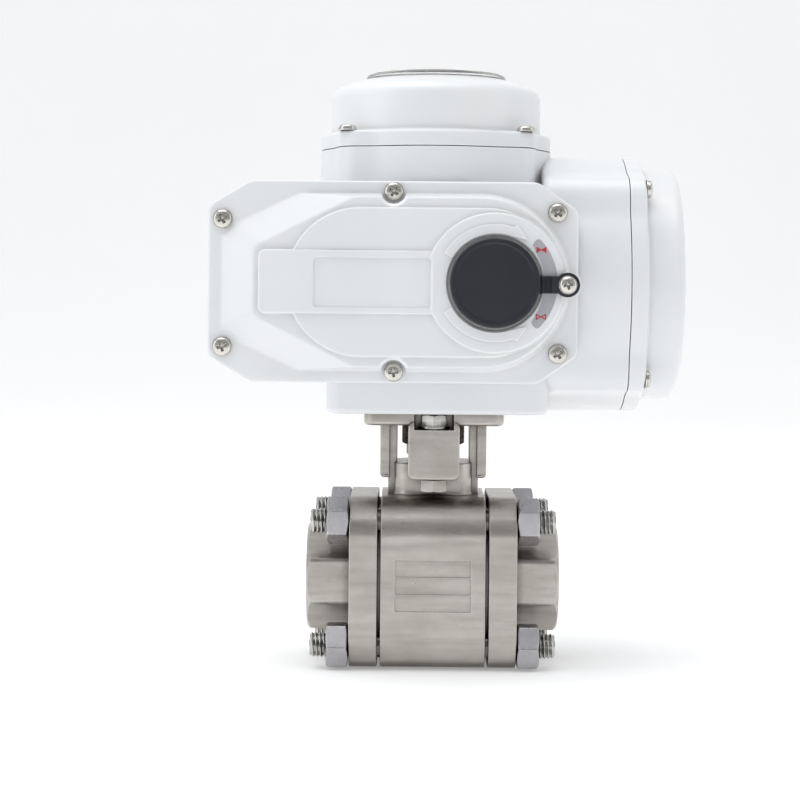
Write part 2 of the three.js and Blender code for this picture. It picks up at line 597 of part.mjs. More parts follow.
function stopScrew([x, z]) {
  const screw = rod('y', x, z, SCREW_M5, 3.9, 44, 12);
  const nut = extrude(acrossFlats(x, z, 8, 6, 30), 'y', 34.6, 38.6);
  return cut(join(screw, nut), extrude(acrossFlats(x, z, 2.5, 6), 'y', 41, 45));
}

// ---------------------------------------------------------------- indicator and limit switches
function switchPlate() {
  const corners = [45, 135, 225, 315].map((a) => [radians(a), 23.5]);
  const screws = corners.map(([a, r]) => circle(r * Math.cos(a), r * Math.sin(a), 1.8, 8));
  return extrude(circle(0, 0, 26.7, 32), 'z', 146.3, 148.1, { holes: [circle(0, 0, 6.3, 20), ...screws] });
}

// the edge rises evenly over the quarter turn that passes the plunger
function cam(index, rising) {
  const low = 10;
  const edge = Array.from({ length: 36 }, (_, i) => {
    const a = i * 10;
    const share = THREE.MathUtils.clamp((a - 180) / 90, 0, 1);
    const lift = rising ? share : 1 - share;
    const away = a < 150 || a > 300;
    const r = away ? low - 1.5 : low + CAM_LIFT * lift;
    return new THREE.Vector2(r * Math.cos(radians(a)), r * Math.sin(radians(a)));
  });
  const z = SWITCH_Z[index];
  return extrude(edge, 'z', z - 1.8, z + 1.8, { holes: [circle(0, 0, 6.3, 24)] });
}

function limitSwitch(index) {
  const z = SWITCH_Z[index];
  const body = block(-24.2, -15, -9, 9, z - 2.2, z + 2.2);
  return cut(body, rod('x', 0, z, 1.6, -21, -14, 12));
}

// a plunger that stands out by CAM_LIFT when it is free
function switchPlunger(index, pressed) {
  const z = SWITCH_Z[index];
  const tip = pressed ? -10 - CAM_LIFT - GAP : -10 - GAP;
  return turned([[0, tip - 7], [1.3, tip - 7], [1.3, tip - 1], [0.6, tip - 0.1], [0, tip]], 'x', [0, 0, z], 12);
}

// the knob hides the end of the shaft and shows through the rim of the window
function indicatorDial() {
  const disc = rod('z', 0, 0, 17.6, 183.4, 184.8, 28);
  const knob = rod('z', 0, 0, 6.5, 184, 187.2, 24);
  return cut(join(disc, knob, rod('z', 0, 0, 6, 178, 184)), rod('z', 0, 0, 3.3, 170, 185.4, 12));
}

// ---------------------------------------------------------------- terminal housing
function terminalBlock() {
  const base = block(44, 52, -24, 24, 96, 110);
  const walls = Array.from({ length: 9 }, (_, i) => {
    const y = -24 + (i * (48 - 1.6)) / 8;
    return block(51, 58, y, y + 1.6, 97, 109);
  });
  return join(base, ...walls);
}

function capacitor() {
  return turned([[0, -20], [8.5, -20], [9, -19], [9, 17], [7, 19], [0, 19]], 'y', [50.5, 0, 138], 24);
}

function cableGland([x, z]) {
  const thread = rod('y', x, z, 7.4, 33, 45, 16);
  const hex = extrude(acrossFlats(x, z, 20, 6), 'y', 43.3, 48.3);
  return join(thread, hex, rod('y', x, z, 6.6, 48, 56, 16));
}

// the seal in the gland's mouth is still blanked off, so the nut is the only open end
function glandNut([x, z]) {
  const skirt = extrude(acrossFlats(x, z, 18.5, 6), 'y', 48.7, 54);
  const nose = turned([[0, 53], [8.8, 53], [8.4, 56.5], [6.4, 59.5], [0, 59.5]], 'y', [x, 0, z], 16);
  return cut(join(skirt, nose), rod('y', x, z, 6.9, 40, 57.2, 16), rod('y', x, z, 4.2, 40, 61, 12));
}

// ---------------------------------------------------------------- assembly
part('valve_body', valveBody(), CAST_STEEL);
part('end_cap_left', endCap(-1), CAST_STEEL);
part('end_cap_right', endCap(1), CAST_STEEL);
studPlaces.forEach((_, i) => part(`body_stud_${i + 1}`, bodyStud(i), STEEL));
part('seat_ring_left', seatRing(-1), PTFE);
part('seat_ring_right', seatRing(1), PTFE);
part('body_seal_left', bodySeal(-1), PTFE);
part('body_seal_right', bodySeal(1), PTFE);
part('ball', ball(), STEEL);
part('valve_stem', valveStem(), STEEL);
part('stem_packing', washerStack(5.3, 7.9, 57.3, 61), PTFE);
part('packing_gland', washerStack(5.3, 7.9, 61.3, 66), STEEL);
part('disc_spring', washerStack(5.3, 8.6, 66.3, 68.9), STEEL);
part('stem_nut', stemNut(), STEEL);
part('stop_bolt', stopBolt(), STEEL);
part('stop_nut', stopNut(), STEEL);
padScrewPlaces.forEach((place, i) => part(`mounting_screw_${i + 1}`, padScrew(place), DARK_STEEL));

part('gear_housing', gearHousing(), PAINT);
part('front_cover', frontCover(), PAINT);
part('indicator_cover', indicatorCover(), PAINT);
part('terminal_cover', terminalCover(), PAINT);
part('indicator_window', indicatorWindow(), CLEAR);
part('manual_port_cap', portCap(), RUBBER);
part('cap_tether', capTether(), RUBBER);
part('tether_screw', tetherScrew(), ZINC);

part('gear_plate', gearPlate(), ZINC);
part('motor_body', motorBody(), DARK_STEEL);
part('motor_rotor', motorRotor(), STEEL);
part('reduction_gear_1', reductionGear(GEAR_1_X, GEAR_1_TEETH, 0), STEEL);
part('reduction_gear_2', reductionGear(GEAR_2_X, GEAR_2_TEETH, 1), STEEL);
part('worm_spur_gear', wormSpurGear(), STEEL);
part('worm_shaft', wormShaft(), STEEL);
part('worm_bearing_front', wormBearing(6.3, -31.5, -27.5), BRONZE);
part('worm_bearing_rear', wormBearing(5.3, 17, 22), BRONZE);
part('worm_wheel', wormWheel(), BRONZE);
part('output_shaft', outputShaft(), DARK_STEEL);
part('output_bushing', washerStack(9.8, 12, 81.8, 87, 24), BRONZE);
stopScrewPlaces.forEach((place, i) => part(`travel_stop_screw_${i + 1}`, stopScrew(place), STEEL));

part('switch_plate', switchPlate(), ZINC);
part('open_cam', cam(0, false), YELLOW_PLASTIC);
part('close_cam', cam(1, true), YELLOW_PLASTIC);
part('open_limit_switch', limitSwitch(0), BLACK_PLASTIC);
part('close_limit_switch', limitSwitch(1), BLACK_PLASTIC);
part('open_switch_plunger', switchPlunger(0, true), PTFE);
part('close_switch_plunger', switchPlunger(1, false), PTFE);
part('indicator_dial', indicatorDial(), YELLOW_PLASTIC);

part('terminal_block', terminalBlock(), BLACK_PLASTIC);
part('motor_capacitor', capacitor(), ZINC);
glandPlaces.forEach((place, i) => part(`cable_gland_${i + 1}`, cableGland(place), BLACK_PLASTIC));
glandPlaces.forEach((place, i) => part(`gland_nut_${i + 1}`, glandNut(place), BLACK_PLASTIC));

export default group;
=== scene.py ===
"""Electric quarter-turn actuator on a three-piece stainless ball valve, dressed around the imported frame.

Lengths in this file are millimetres unless a name ends in _M; the mesh code scales them to metres.
"""
import json
import math
import random

import bmesh
import bpy
from mathutils import Matrix, Vector


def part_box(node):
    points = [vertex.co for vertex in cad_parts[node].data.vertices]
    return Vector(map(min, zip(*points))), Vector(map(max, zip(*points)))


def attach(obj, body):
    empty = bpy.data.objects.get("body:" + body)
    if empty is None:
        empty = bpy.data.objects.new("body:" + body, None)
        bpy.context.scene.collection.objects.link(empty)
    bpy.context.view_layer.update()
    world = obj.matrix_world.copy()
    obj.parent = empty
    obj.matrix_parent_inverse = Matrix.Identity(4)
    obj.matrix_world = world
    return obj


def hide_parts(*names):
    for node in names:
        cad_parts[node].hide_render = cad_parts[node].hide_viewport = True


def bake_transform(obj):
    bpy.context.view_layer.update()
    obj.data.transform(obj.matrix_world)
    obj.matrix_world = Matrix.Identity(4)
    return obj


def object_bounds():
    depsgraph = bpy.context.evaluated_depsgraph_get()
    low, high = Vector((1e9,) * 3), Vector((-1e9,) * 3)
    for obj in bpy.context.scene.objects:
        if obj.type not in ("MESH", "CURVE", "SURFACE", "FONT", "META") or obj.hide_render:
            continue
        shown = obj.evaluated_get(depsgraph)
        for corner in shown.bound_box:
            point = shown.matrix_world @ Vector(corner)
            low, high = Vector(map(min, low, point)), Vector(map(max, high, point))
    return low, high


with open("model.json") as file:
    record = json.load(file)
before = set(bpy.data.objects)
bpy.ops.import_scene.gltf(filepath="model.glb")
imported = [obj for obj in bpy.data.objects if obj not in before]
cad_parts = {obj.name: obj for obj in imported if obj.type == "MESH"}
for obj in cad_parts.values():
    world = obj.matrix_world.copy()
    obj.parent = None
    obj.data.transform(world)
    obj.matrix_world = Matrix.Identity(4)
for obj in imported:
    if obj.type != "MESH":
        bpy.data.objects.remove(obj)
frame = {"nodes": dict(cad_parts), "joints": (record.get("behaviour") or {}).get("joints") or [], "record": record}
CAD_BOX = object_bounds()
MM = 0.001
RANDOM = random.Random(7)
WELD = 2e-7
SMOOTH_ANGLE = math.radians(38)


# ---------------------------------------------------------------- places taken from the frame
def box(node):
    low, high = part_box(node)
    return [c / MM for c in low], [c / MM for c in high]


def middle(node, axis):
    low, high = box(node)
    return (low[axis] + high[axis]) / 2


HOUSING = box("gear_housing")
COVER = box("front_cover")
DOME = box("indicator_cover")
TERMINAL = box("terminal_cover")
WINDOW = box("indicator_window")
DIAL = box("indicator_dial")
PORT_CAP = box("manual_port_cap")
TETHER = box("cap_tether")
TETHER_SCREW = box("tether_screw")
VALVE = box("valve_body")
CAP_RIGHT = box("end_cap_right")
CAP_LEFT = box("end_cap_left")
STUD = [box(f"body_stud_{i}") for i in (1, 2, 3, 4)]
GLANDS = [box(f"cable_gland_{i}") for i in (1, 2)]
GLAND_NUTS = [box(f"gland_nut_{i}") for i in (1, 2)]
STOPS = [box(f"travel_stop_screw_{i}") for i in (1, 2)]
STEM_NUT = box("stem_nut")
STOP_BOLT = box("stop_bolt")
STOP_NUT = box("stop_nut")

CAP_R = (PORT_CAP[1][2] - PORT_CAP[0][2]) / 2
PORT = (PORT_CAP[0][0] + CAP_R, middle("manual_port_cap", 2))  # axis of the manual drive, in x and z
DRUM_Z = middle("terminal_cover", 2)
DRUM_R = (TERMINAL[1][1] - TERMINAL[0][1]) / 2
TOWER_R = (DOME[1][0] - DOME[0][0]) / 2
FLOW_Z = middle("end_cap_right", 2)
HALF_SQUARE = (CAP_RIGHT[1][1] - CAP_RIGHT[0][1]) / 2
FLANGE_FACE = COVER[0][1] + 8.4  # the cover screws sit on it
PLATEAU_FACE = COVER[0][1] + 2.4
RIM_FACE = COVER[0][1] + 1.2
HUB_FACE = COVER[0][1]
PAD_TOP = VALVE[1][2]


# ---------------------------------------------------------------- outlines
def arc(u, v, r, start, end, steps):
    turns = [math.radians(start + (end - start) * i / steps) for i in range(steps + 1)]
    return [(u + r * math.cos(a), v + r * math.sin(a)) for a in turns]


def circle(u, v, r, sides=64):
    return arc(u, v, r, 0, 360, sides)[:-1]


def rounded(corners, radius, steps=5):
    """The polygon with each corner replaced by a curve that starts radius away from it."""
    count = len(corners)
    out = []
    for i, corner in enumerate(corners):
        here = Vector(corner)
        before = Vector(corners[i - 1])
        after = Vector(corners[(i + 1) % count])
        start = here + (before - here).normalized() * min(radius, (before - here).length * 0.49)
        end = here + (after - here).normalized() * min(radius, (after - here).length * 0.49)
        for k in range(steps + 1):
            t = k / steps
            out.append(tuple(start * (1 - t) ** 2 + here * 2 * t * (1 - t) + end * t * t))
    return out


def rounded_rect(u0, u1, v0, v1, r, steps=8):
    return [
        *arc(u1 - r, v1 - r, r, 0, 90, steps),
        *arc(u0 + r, v1 - r, r, 90, 180, steps),
        *arc(u0 + r, v0 + r, r, 180, 270, steps),
        *arc(u1 - r, v0 + r, r, 270, 360, steps),
    ]


def across_flats(u, v, width, sides, turn=0.0):
    corner = width / 2 / math.cos(math.pi / sides)
    first = 180 / sides + turn
    return arc(u, v, corner, first, first + 360, sides)[:-1]


def grow(outline, d):
    """Every corner moved outwards so that the sides of a counter-clockwise outline move by d."""
    if d == 0:
        return list(outline)
    count = len(outline)
    out = []
    for i, (u, v) in enumerate(outline):
        a = Vector((u, v)) - Vector(outline[i - 1])
        b = Vector(outline[(i + 1) % count]) - Vector((u, v))
        if a.length < 1e-6:
            a = b
        if b.length < 1e-6:
            b = a
        na = Vector((a.y, -a.x)).normalized()
        nb = Vector((b.y, -b.x)).normalized()
        n = na + nb
        n = na if n.length < 1e-6 else n.normalized()
        reach = d / max(0.5, n.dot(na))
        out.append((u + n.x * reach, v + n.y * reach))
    return out


def lobed(v0, radius, half, corner, sides=240, blend=3):
    """A circle joined with a rounded square, sampled by angle and eased where they cross."""
    inner = half - corner
    reach = []
    for i in range(sides):
        a = 2 * math.pi * i / sides
        c, s = abs(math.cos(a)), abs(math.sin(a))
        flat = half / max(c, s)
        if flat * min(c, s) > inner:
            p = inner * (c + s)
            q = 2 * inner * inner - corner * corner
            flat = p + math.sqrt(max(0.0, p * p - q))
        reach.append(max(radius, flat))
    eased = [sum(reach[(i + k) % sides] for k in range(-blend, blend + 1)) / (2 * blend + 1) for i in range(sides)]
    reach = [min(radius + 40, max(e, radius)) for e in eased]
    return [
        (r * math.cos(2 * math.pi * i / sides), v0 + r * math.sin(2 * math.pi * i / sides))
        for i, r in enumerate(reach)
    ]


def ease(path, radii, steps=4):
    """An open line of points of any dimension, with each inner corner replaced by a curve."""
    out = [path[0]]
    for i in range(1, len(path) - 1):
        r = radii[i]
        here = Vector(path[i])
        before = Vector(path[i - 1]) - here
        after = Vector(path[i + 1]) - here
        if r <= 0 or before.length < 1e-9 or after.length < 1e-9:
            out.append(path[i])
            continue
        start = here + before.normalized() * min(r, before.length * 0.5)
        end = here + after.normalized() * min(r, after.length * 0.5)
        for k in range(steps + 1):
            t = k / steps
            out.append(tuple(start * (1 - t) ** 2 + here * 2 * t * (1 - t) + end * t * t))
    out.append(path[-1])
    return out


# ---------------------------------------------------------------- solids
PLACE = {
    "x": lambda u, v, w: (w, u, v),
    "y": lambda u, v, w: (u, w, v),
    "z": lambda u, v, w: (u, v, w),
}


def closed_skin(rows):
    """One closed skin through rings of points, with a face over the first and the last ring."""
    bm = bmesh.new()
    made = []
    for row in rows:
        if len(row) == 1:
            made.append([bm.verts.new([c * MM for c in row[0]])])
        else:
            made.append([bm.verts.new([c * MM for c in p]) for p in row])
    for a, b in zip(made, made[1:]):
        count = max(len(a), len(b))
        for i in range(count):
            j = (i + 1) % count
            if len(a) == 1:
                bm.faces.new((a[0], b[j], b[i]))
            elif len(b) == 1:
                bm.faces.new((a[i], a[j], b[0]))
            else:
                bm.faces.new((a[i], a[j], b[j], b[i]))
    for end in (made[0], made[-1]):
        if len(end) > 2:
            bm.faces.new(end)
    bmesh.ops.remove_doubles(bm, verts=bm.verts, dist=WELD)
    bmesh.ops.recalc_face_normals(bm, faces=bm.faces)
    return bm


def loft(axis, controls, radii, steps=4):
    """A solid through outlines at places along an axis, eased at each of them by its radius."""
    place = PLACE[axis]
    lines = [
        ease([place(*outline[k], w) for outline, w in controls], radii, steps)
        for k in range(len(controls[0][0]))
    ]
    return closed_skin([[line[i] for line in lines] for i in range(len(lines[0]))])


def boss(outline, axis, base, top, edge=0.6, foot=0.0, sink=0.6, steps=4):
    """A raised feature on a face: its top edge is rounded and its foot flares into the face."""
    way = 1 if top > base else -1
    inset = max(edge * 2.2, 0.05)
    controls = [(grow(outline, foot * 2), base - way * sink)]
    radii = [0]
    if foot > 0:
        controls += [(grow(outline, foot * 2), base - way * 0.03), (outline, base - way * 0.02)]
        radii += [0, foot * 1.9]
    controls += [(outline, top), (grow(outline, -inset), top)]
    radii += [edge, 0]
    return loft(axis, controls, radii, steps)


def slab(outline, axis, low, high, edge=0.5, edge_high=None, steps=4):
    """A block between two places along an axis with both of its rims rounded."""
    top = edge if edge_high is None else edge_high
    controls = [
        (grow(outline, -max(edge * 2.2, 0.05)), low),
        (outline, low),
        (outline, high),
        (grow(outline, -max(top * 2.2, 0.05)), high),
    ]
    return loft(axis, controls, [0, edge, top, 0], steps)


def turned(profile, axis, centre, sides=96, radii=None, steps=4):
    """A closed solid of revolution: [radius, height] pairs from one end of the axis to the other."""
    line = ease([(r, w, 0) for r, w in profile], radii, steps) if radii else profile
    place = PLACE[axis]
    rows = []
    for point in line:
        r, w = point[0], point[1]
        if r < 1e-6:
            rows.append([place(centre[0], centre[1], w)])
        else:
            rows.append([place(*p, w) for p in circle(*centre, r, sides)])
    return closed_skin(rows)


def ring(profile, axis, centre, sides=96):
    """A ring whose closed profile of [radius, height] pairs doesn't reach the axis."""
    place = PLACE[axis]
    bm = bmesh.new()
    rows = [[bm.verts.new([c * MM for c in place(*p, w)]) for p in circle(*centre, r, sides)] for r, w in profile]
    for a, b in zip(rows, rows[1:] + rows[:1]):
        for i in range(sides):
            j = (i + 1) % sides
            bm.faces.new((a[i], a[j], b[j], b[i]))
    bmesh.ops.recalc_face_normals(bm, faces=bm.faces)
    return bm


def thread(axis, centre, r, low, high, pitch, depth, sides=36, per_pitch=6):
    """A rod with a helical thread that runs out at both ends."""
    place = PLACE[axis]
    count = max(4, int((high - low) / pitch * per_pitch))
    rows = []
    for i in range(count + 1):
        w = low + (high - low) * i / count
        fade = min(1.0, (w - low) / (pitch * 0.7), (high - w) / (pitch * 0.7))
        row = []
        for k in range(sides):
            share = (w / pitch - k / sides) % 1.0
            groove = abs(2 * share - 1)
            here = r - depth * (groove * fade + (1 - fade) * 1.05)
            a = 2 * math.pi * k / sides
            row.append(place(centre[0] + here * math.cos(a), centre[1] + here * math.sin(a), w))
        rows.append(row)
    return closed_skin(rows)


def hex_nut(axis, centre, flats, low, high, turn=0.0, sides=6, chamfer_low=True, chamfer_high=True):
    """A nut or bolt head whose corners are turned away at its faces."""
    corner = flats / 2 / math.cos(math.pi / sides)
    bite = (corner - flats / 2) * 0.62
    blank = loft(axis, [(rounded(across_flats(*centre, flats, sides, turn), flats * 0.03, 2), w) for w in (low, high)], [0, 0])
    profile = [(0, low), (flats / 2 * (0.97 if chamfer_low else 1.3), low)]
    profile += [(corner * 1.02, low + (bite if chamfer_low else 0)), (corner * 1.02, high - (bite if chamfer_high else 0))]
    profile += [(flats / 2 * (0.97 if chamfer_high else 1.3), high), (0, high)]
    return combine(blank, [turned(profile, axis, centre, 64)], "INTERSECT")


def temporary(bm):
    mesh = bpy.data.meshes.new("working")
    bm.to_mesh(mesh)
    bm.free()
    obj = bpy.data.objects.new("working", mesh)
    bpy.context.scene.collection.objects.link(obj)
    return obj


def combine(base, others, operation):
    """Joins, cuts or trims closed skins and gives one closed skin back."""
    target = temporary(base)
    for other in others:
        tool = temporary(other)
        modifier = target.modifiers.new("combine", "BOOLEAN")
        modifier.operation = operation
        modifier.solver = "MANIFOLD"
        modifier.object = tool
        evaluated = target.evaluated_get(bpy.context.evaluated_depsgraph_get())
        mesh = bpy.data.meshes.new_from_object(evaluated)
        target.modifiers.clear()
        old = target.data
        target.data = mesh
        bpy.data.meshes.remove(old)
        bpy.data.objects.remove(tool)
    out = bmesh.new()
    out.from_mesh(target.data)
    bpy.data.objects.remove(target)
    bmesh.ops.remove_doubles(out, verts=out.verts, dist=WELD)
    bmesh.ops.dissolve_degenerate(out, edges=out.edges, dist=WELD)
    return out


def join(*skins):
    return combine(skins[0], skins[1:], "UNION")


def cut(base, *skins):
    return combine(base, skins, "DIFFERENCE")


# ---------------------------------------------------------------- materials
class Graph:
    """A material's node tree with short names for the nodes used here."""

    def __init__(self, name):
        self.material = bpy.data.materials.new(name)
        self.material.use_nodes = True
        self.tree = self.material.node_tree
        self.shader = self.tree.nodes["Principled BSDF"]
        self.coords = self.tree.nodes.new("ShaderNodeTexCoord").outputs["Object"]

    def add(self, kind, inputs=None, **settings):
        node = self.tree.nodes.new(kind)
        for key, value in settings.items():
            setattr(node, key, value)
        for key, value in (inputs or {}).items():
            if isinstance(value, bpy.types.NodeSocket):
                self.tree.links.new(value, node.inputs[key])
            else:
                node.inputs[key].default_value = value
        return node

    def noise(self, scale, detail=3.0, stretch=None, roughness=0.5):
        where = self.coords
        if stretch:
            where = self.add("ShaderNodeMapping", {"Vector": self.coords, "Scale": stretch}).outputs["Vector"]
        return self.add(
            "ShaderNodeTexNoise",
            {"Vector": where, "Scale": scale, "Detail": detail, "Roughness": roughness},
        ).outputs["Fac"]

    def ramp(self, value, low, high, start=0.0, end=1.0):
        return self.add(
            "ShaderNodeMapRange",
            {"Value": value, "From Min": low, "From Max": high, "To Min": start, "To Max": end},
        ).outputs["Result"]

    def mix(self, share, a, b):
        node = self.add("ShaderNodeMix", data_type="RGBA")
        colours = [s for s in node.inputs if s.type == "RGBA"]
        for socket, value in zip(colours, (a, b)):
            if isinstance(value, bpy.types.NodeSocket):
                self.tree.links.new(value, socket)
            else:
                socket.default_value = (*value, 1)
        self.tree.links.new(share, node.inputs["Factor"])
        return next(s for s in node.outputs if s.type == "RGBA")

    def math(self, operation, a, b):
        return self.add("ShaderNodeMath", {0: a, 1: b}, operation=operation).outputs[0]

    # the materials use this mask to paint highlights along edges
    def edges(self, radius=0.5):
        """How far a surface is from flat within radius millimetres: 1 on an edge, 0 away from it."""
        soft = self.add("ShaderNodeBevel", {"Radius": radius * MM}, samples=4).outputs["Normal"]
        flat = self.add("ShaderNodeNewGeometry").outputs["Normal"]
        same = self.add("ShaderNodeVectorMath", {0: soft, 1: flat}, operation="DOT_PRODUCT").outputs["Value"]
        return self.ramp(same, 0.985, 0.86)

    # the materials use this ambient occlusion mask to paint shade into creases and hollows
    def hollows(self, distance):
        open_share = self.add("ShaderNodeAmbientOcclusion", {"Distance": distance * MM}, samples=4).outputs["AO"]
        return self.ramp(open_share, 0.35, 1.0, 1.0, 0.0)

    def bump(self, *layers):
        """Layers of (height, depth in millimetres), each on top of the one before."""
        normal = None
        for height, depth in layers:
            inputs = {"Height": height, "Distance": depth * MM, "Strength": 1.0}
            if normal is not None:
                inputs["Normal"] = normal
            normal = self.add("ShaderNodeBump", inputs).outputs["Normal"]
        self.tree.links.new(normal, self.shader.inputs["Normal"])

    def put(self, **sockets):
        for key, value in sockets.items():
            socket = self.shader.inputs[key.replace("_", " ")]
            if isinstance(value, bpy.types.NodeSocket):
                self.tree.links.new(value, socket)
            else:
                socket.default_value = value
        return self.material


def grey(r, g, b):
    """A screen colour of 0-255 as the linear values that the shader takes."""
    return tuple(((c / 255 + 0.055) / 1.055) ** 2.4 if c > 10 else c / 255 / 12.92 for c in (r, g, b))


def white_paint():
    g = Graph("white_paint")
    cloud = g.noise(28, 3)
    base = g.mix(g.ramp(cloud, 0.3, 0.7), grey(229, 231, 234), grey(235, 236, 237))
    # painted highlight: edges lightened to near white
    base = g.mix(g.edges(0.65), base, grey(253, 254, 255))
    # painted shade: creases and hollows found by ambient occlusion darkened towards grey, patchy in strength by noise
    painted_crease_shade = g.math("MULTIPLY", g.hollows(2.5), g.ramp(g.noise(160, 4), 0.25, 0.75, 0.25, 0.8))
    base = g.mix(painted_crease_shade, base, grey(188, 187, 183))
    cells = g.add("ShaderNodeTexVoronoi", {"Vector": g.coords, "Scale": 62.0, "Randomness": 1.0})
    rare = g.ramp(cells.outputs["Color"], 0.9, 0.93)
    spot = g.ramp(cells.outputs["Distance"], 0.010, 0.016, 1.0, 0.0)
    base = g.mix(g.math("MULTIPLY", g.math("MULTIPLY", rare, spot), 0.7), base, grey(120, 116, 110))
    g.bump((g.noise(420, 2), 0.035), (g.noise(1500, 2), 0.008))
    rough = g.ramp(g.noise(90, 3), 0.2, 0.8, 0.30, 0.40)
    return g.put(Base_Color=base, Roughness=rough, Coat_Weight=0.25, Coat_Roughness=0.12)


def cast_stainless():
    g = Graph("cast_stainless")
    stain = g.ramp(g.noise(45, 5, roughness=0.6), 0.3, 0.72)
    base = g.mix(stain, grey(176, 171, 164), grey(198, 193, 187))
    brushed = g.noise(340, 4, stretch=(0.12, 1, 1))
    base = g.mix(g.math("MULTIPLY", g.ramp(brushed, 0.4, 0.7), 0.5), base, grey(154, 149, 143))
    # painted highlight: edges lightened
    base = g.mix(g.edges(0.45), base, grey(222, 219, 214))
    # painted shade: hollows found by ambient occlusion darkened
    base = g.mix(g.math("MULTIPLY", g.hollows(3.0), 0.75), base, grey(92, 86, 80))
    g.bump((g.noise(260, 4), 0.06), (brushed, 0.02), (g.noise(2300, 3), 0.03))
    rough = g.ramp(g.noise(700, 3), 0.25, 0.75, 0.27, 0.4)
    return g.put(Base_Color=base, Metallic=1.0, Roughness=rough)


def bright_steel(name, axis, tone, rough, depth=1.2):
    g = Graph(name)
    lines = g.noise(900, 3, stretch=axis)
    base = g.mix(g.ramp(g.noise(120, 4), 0.3, 0.7), grey(*(c - 16 for c in tone)), grey(*tone))
    # painted highlight: edges lightened
    base = g.mix(g.edges(0.3), base, grey(236, 235, 232))
    # painted shade: recesses and gaps found by ambient occlusion darkened, reaching depth millimetres
    base = g.mix(g.math("MULTIPLY", g.hollows(depth), 0.85), base, grey(50, 47, 44))
    g.bump((lines, 0.01), (g.noise(2600, 2), 0.006))
    return g.put(Base_Color=base, Metallic=1.0, Roughness=g.ramp(lines, 0.3, 0.7, *rough))


def black_steel():
    g = Graph("black_steel")
    base = g.mix(g.ramp(g.noise(300, 4), 0.3, 0.7), grey(52, 52, 54), grey(74, 73, 72))
    # painted highlight: edges lightened
    base = g.mix(g.edges(0.3), base, grey(120, 118, 115))
    g.bump((g.noise(1800, 3), 0.02))
    return g.put(Base_Color=base, Metallic=0.9, Roughness=g.ramp(g.noise(500, 3), 0.3, 0.7, 0.35, 0.55))


def bronze():
    g = Graph("bronze")
    base = g.mix(g.ramp(g.noise(80, 4), 0.3, 0.7), grey(168, 128, 66), grey(196, 158, 92))
    g.bump((g.noise(1400, 3), 0.015))
    return g.put(Base_Color=base, Metallic=1.0, Roughness=g.ramp(g.noise(400, 3), 0.3, 0.7, 0.28, 0.42))


def rubber():
    g = Graph("black_rubber")
    base = g.mix(g.ramp(g.noise(50, 4), 0.35, 0.7), grey(21, 24, 34), grey(27, 30, 40))
    dust = g.math("MULTIPLY", g.ramp(g.noise(900, 5), 0.68, 0.8), 0.12)
    base = g.mix(dust, base, grey(104, 106, 112))
    g.bump((g.noise(1900, 3), 0.012), (g.noise(240, 2), 0.02))
    return g.put(Base_Color=base, Roughness=g.ramp(g.noise(130, 3), 0.3, 0.7, 0.36, 0.5), Sheen_Weight=0.06)


def plastic(name, low, high, rough=(0.38, 0.5), grain=0.02):
    g = Graph(name)
    base = g.mix(g.ramp(g.noise(60, 3), 0.3, 0.7), grey(*low), grey(*high))
    g.bump((g.noise(1500, 2), grain))
    return g.put(Base_Color=base, Roughness=g.ramp(g.noise(300, 3), 0.3, 0.7, *rough))


def clear_window():
    g = Graph("clear_window")
    tint = g.mix(g.ramp(g.noise(40, 2), 0.3, 0.7), (0.93, 0.95, 0.96), (0.97, 0.98, 0.98))
    g.bump((g.noise(130, 3), 0.004))
    rough = g.ramp(g.noise(500, 4), 0.3, 0.8, 0.03, 0.1)
    return g.put(Base_Color=tint, Roughness=rough, Transmission_Weight=0.92, IOR=1.3)


def foil_label():
    g = Graph("foil_label")
    base = g.mix(g.ramp(g.noise(90, 3), 0.3, 0.7), grey(172, 171, 178), grey(184, 183, 190))
    g.bump((g.noise(2400, 2), 0.006))
    return g.put(Base_Color=base, Metallic=0.25, Roughness=g.ramp(g.noise(600, 3), 0.3, 0.7, 0.36, 0.48))


def print_ink(name, tone):
    g = Graph(name)
    base = g.mix(g.ramp(g.noise(700, 4), 0.35, 0.75), grey(*tone), grey(*(min(255, c + 14) for c in tone)))
    g.bump((g.noise(2600, 2), 0.004))
    return g.put(Base_Color=base, Roughness=g.ramp(g.noise(800, 3), 0.3, 0.7, 0.4, 0.55))


PAINT = white_paint()
CAST = cast_stainless()
MACHINED = bright_steel("machined_steel", (1, 1, 1), (196, 193, 188), (0.24, 0.4))
NUT_STEEL = bright_steel("nut_steel", (1, 1, 1), (186, 184, 187), (0.26, 0.36))
STUD_STEEL = bright_steel("stud_steel", (1, 1, 1), (204, 202, 198), (0.16, 0.3), 2.8)
NICKEL = bright_steel("nickel_screw", (1, 1, 1), (218, 214, 208), (0.18, 0.3), 0.5)
RUBBER = rubber()
CLEAR = clear_window()
FOIL = foil_label()
RED = print_ink("red_print", (178, 44, 54))
GREEN = print_ink("green_print", (38, 128, 70))
BLACK = print_ink("black_print", (30, 32, 36))
BLACK_PLASTIC = plastic("black_plastic", (26, 27, 30), (36, 37, 40))
WHITE_PLASTIC = plastic("white_plastic", (226, 226, 224), (236, 236, 233))
CAD_LOOKS = {
    "white_paint": PAINT,
    "cast_stainless": CAST,
    "bright_steel": MACHINED,
    "black_steel": black_steel(),
    "bronze": bronze(),
    "seal_white": plastic("seal_white", (232, 230, 224), (242, 240, 234), (0.5, 0.65)),
    "black_rubber": RUBBER,
    "clear_window": CLEAR,
    "yellow_plastic": plastic("yellow_plastic", (214, 166, 34), (226, 180, 52)),
    "black_plastic": BLACK_PLASTIC,
    "capacitor_can": bright_steel("capacitor_can", (1, 1, 0.1), (186, 188, 190), (0.3, 0.45)),
}


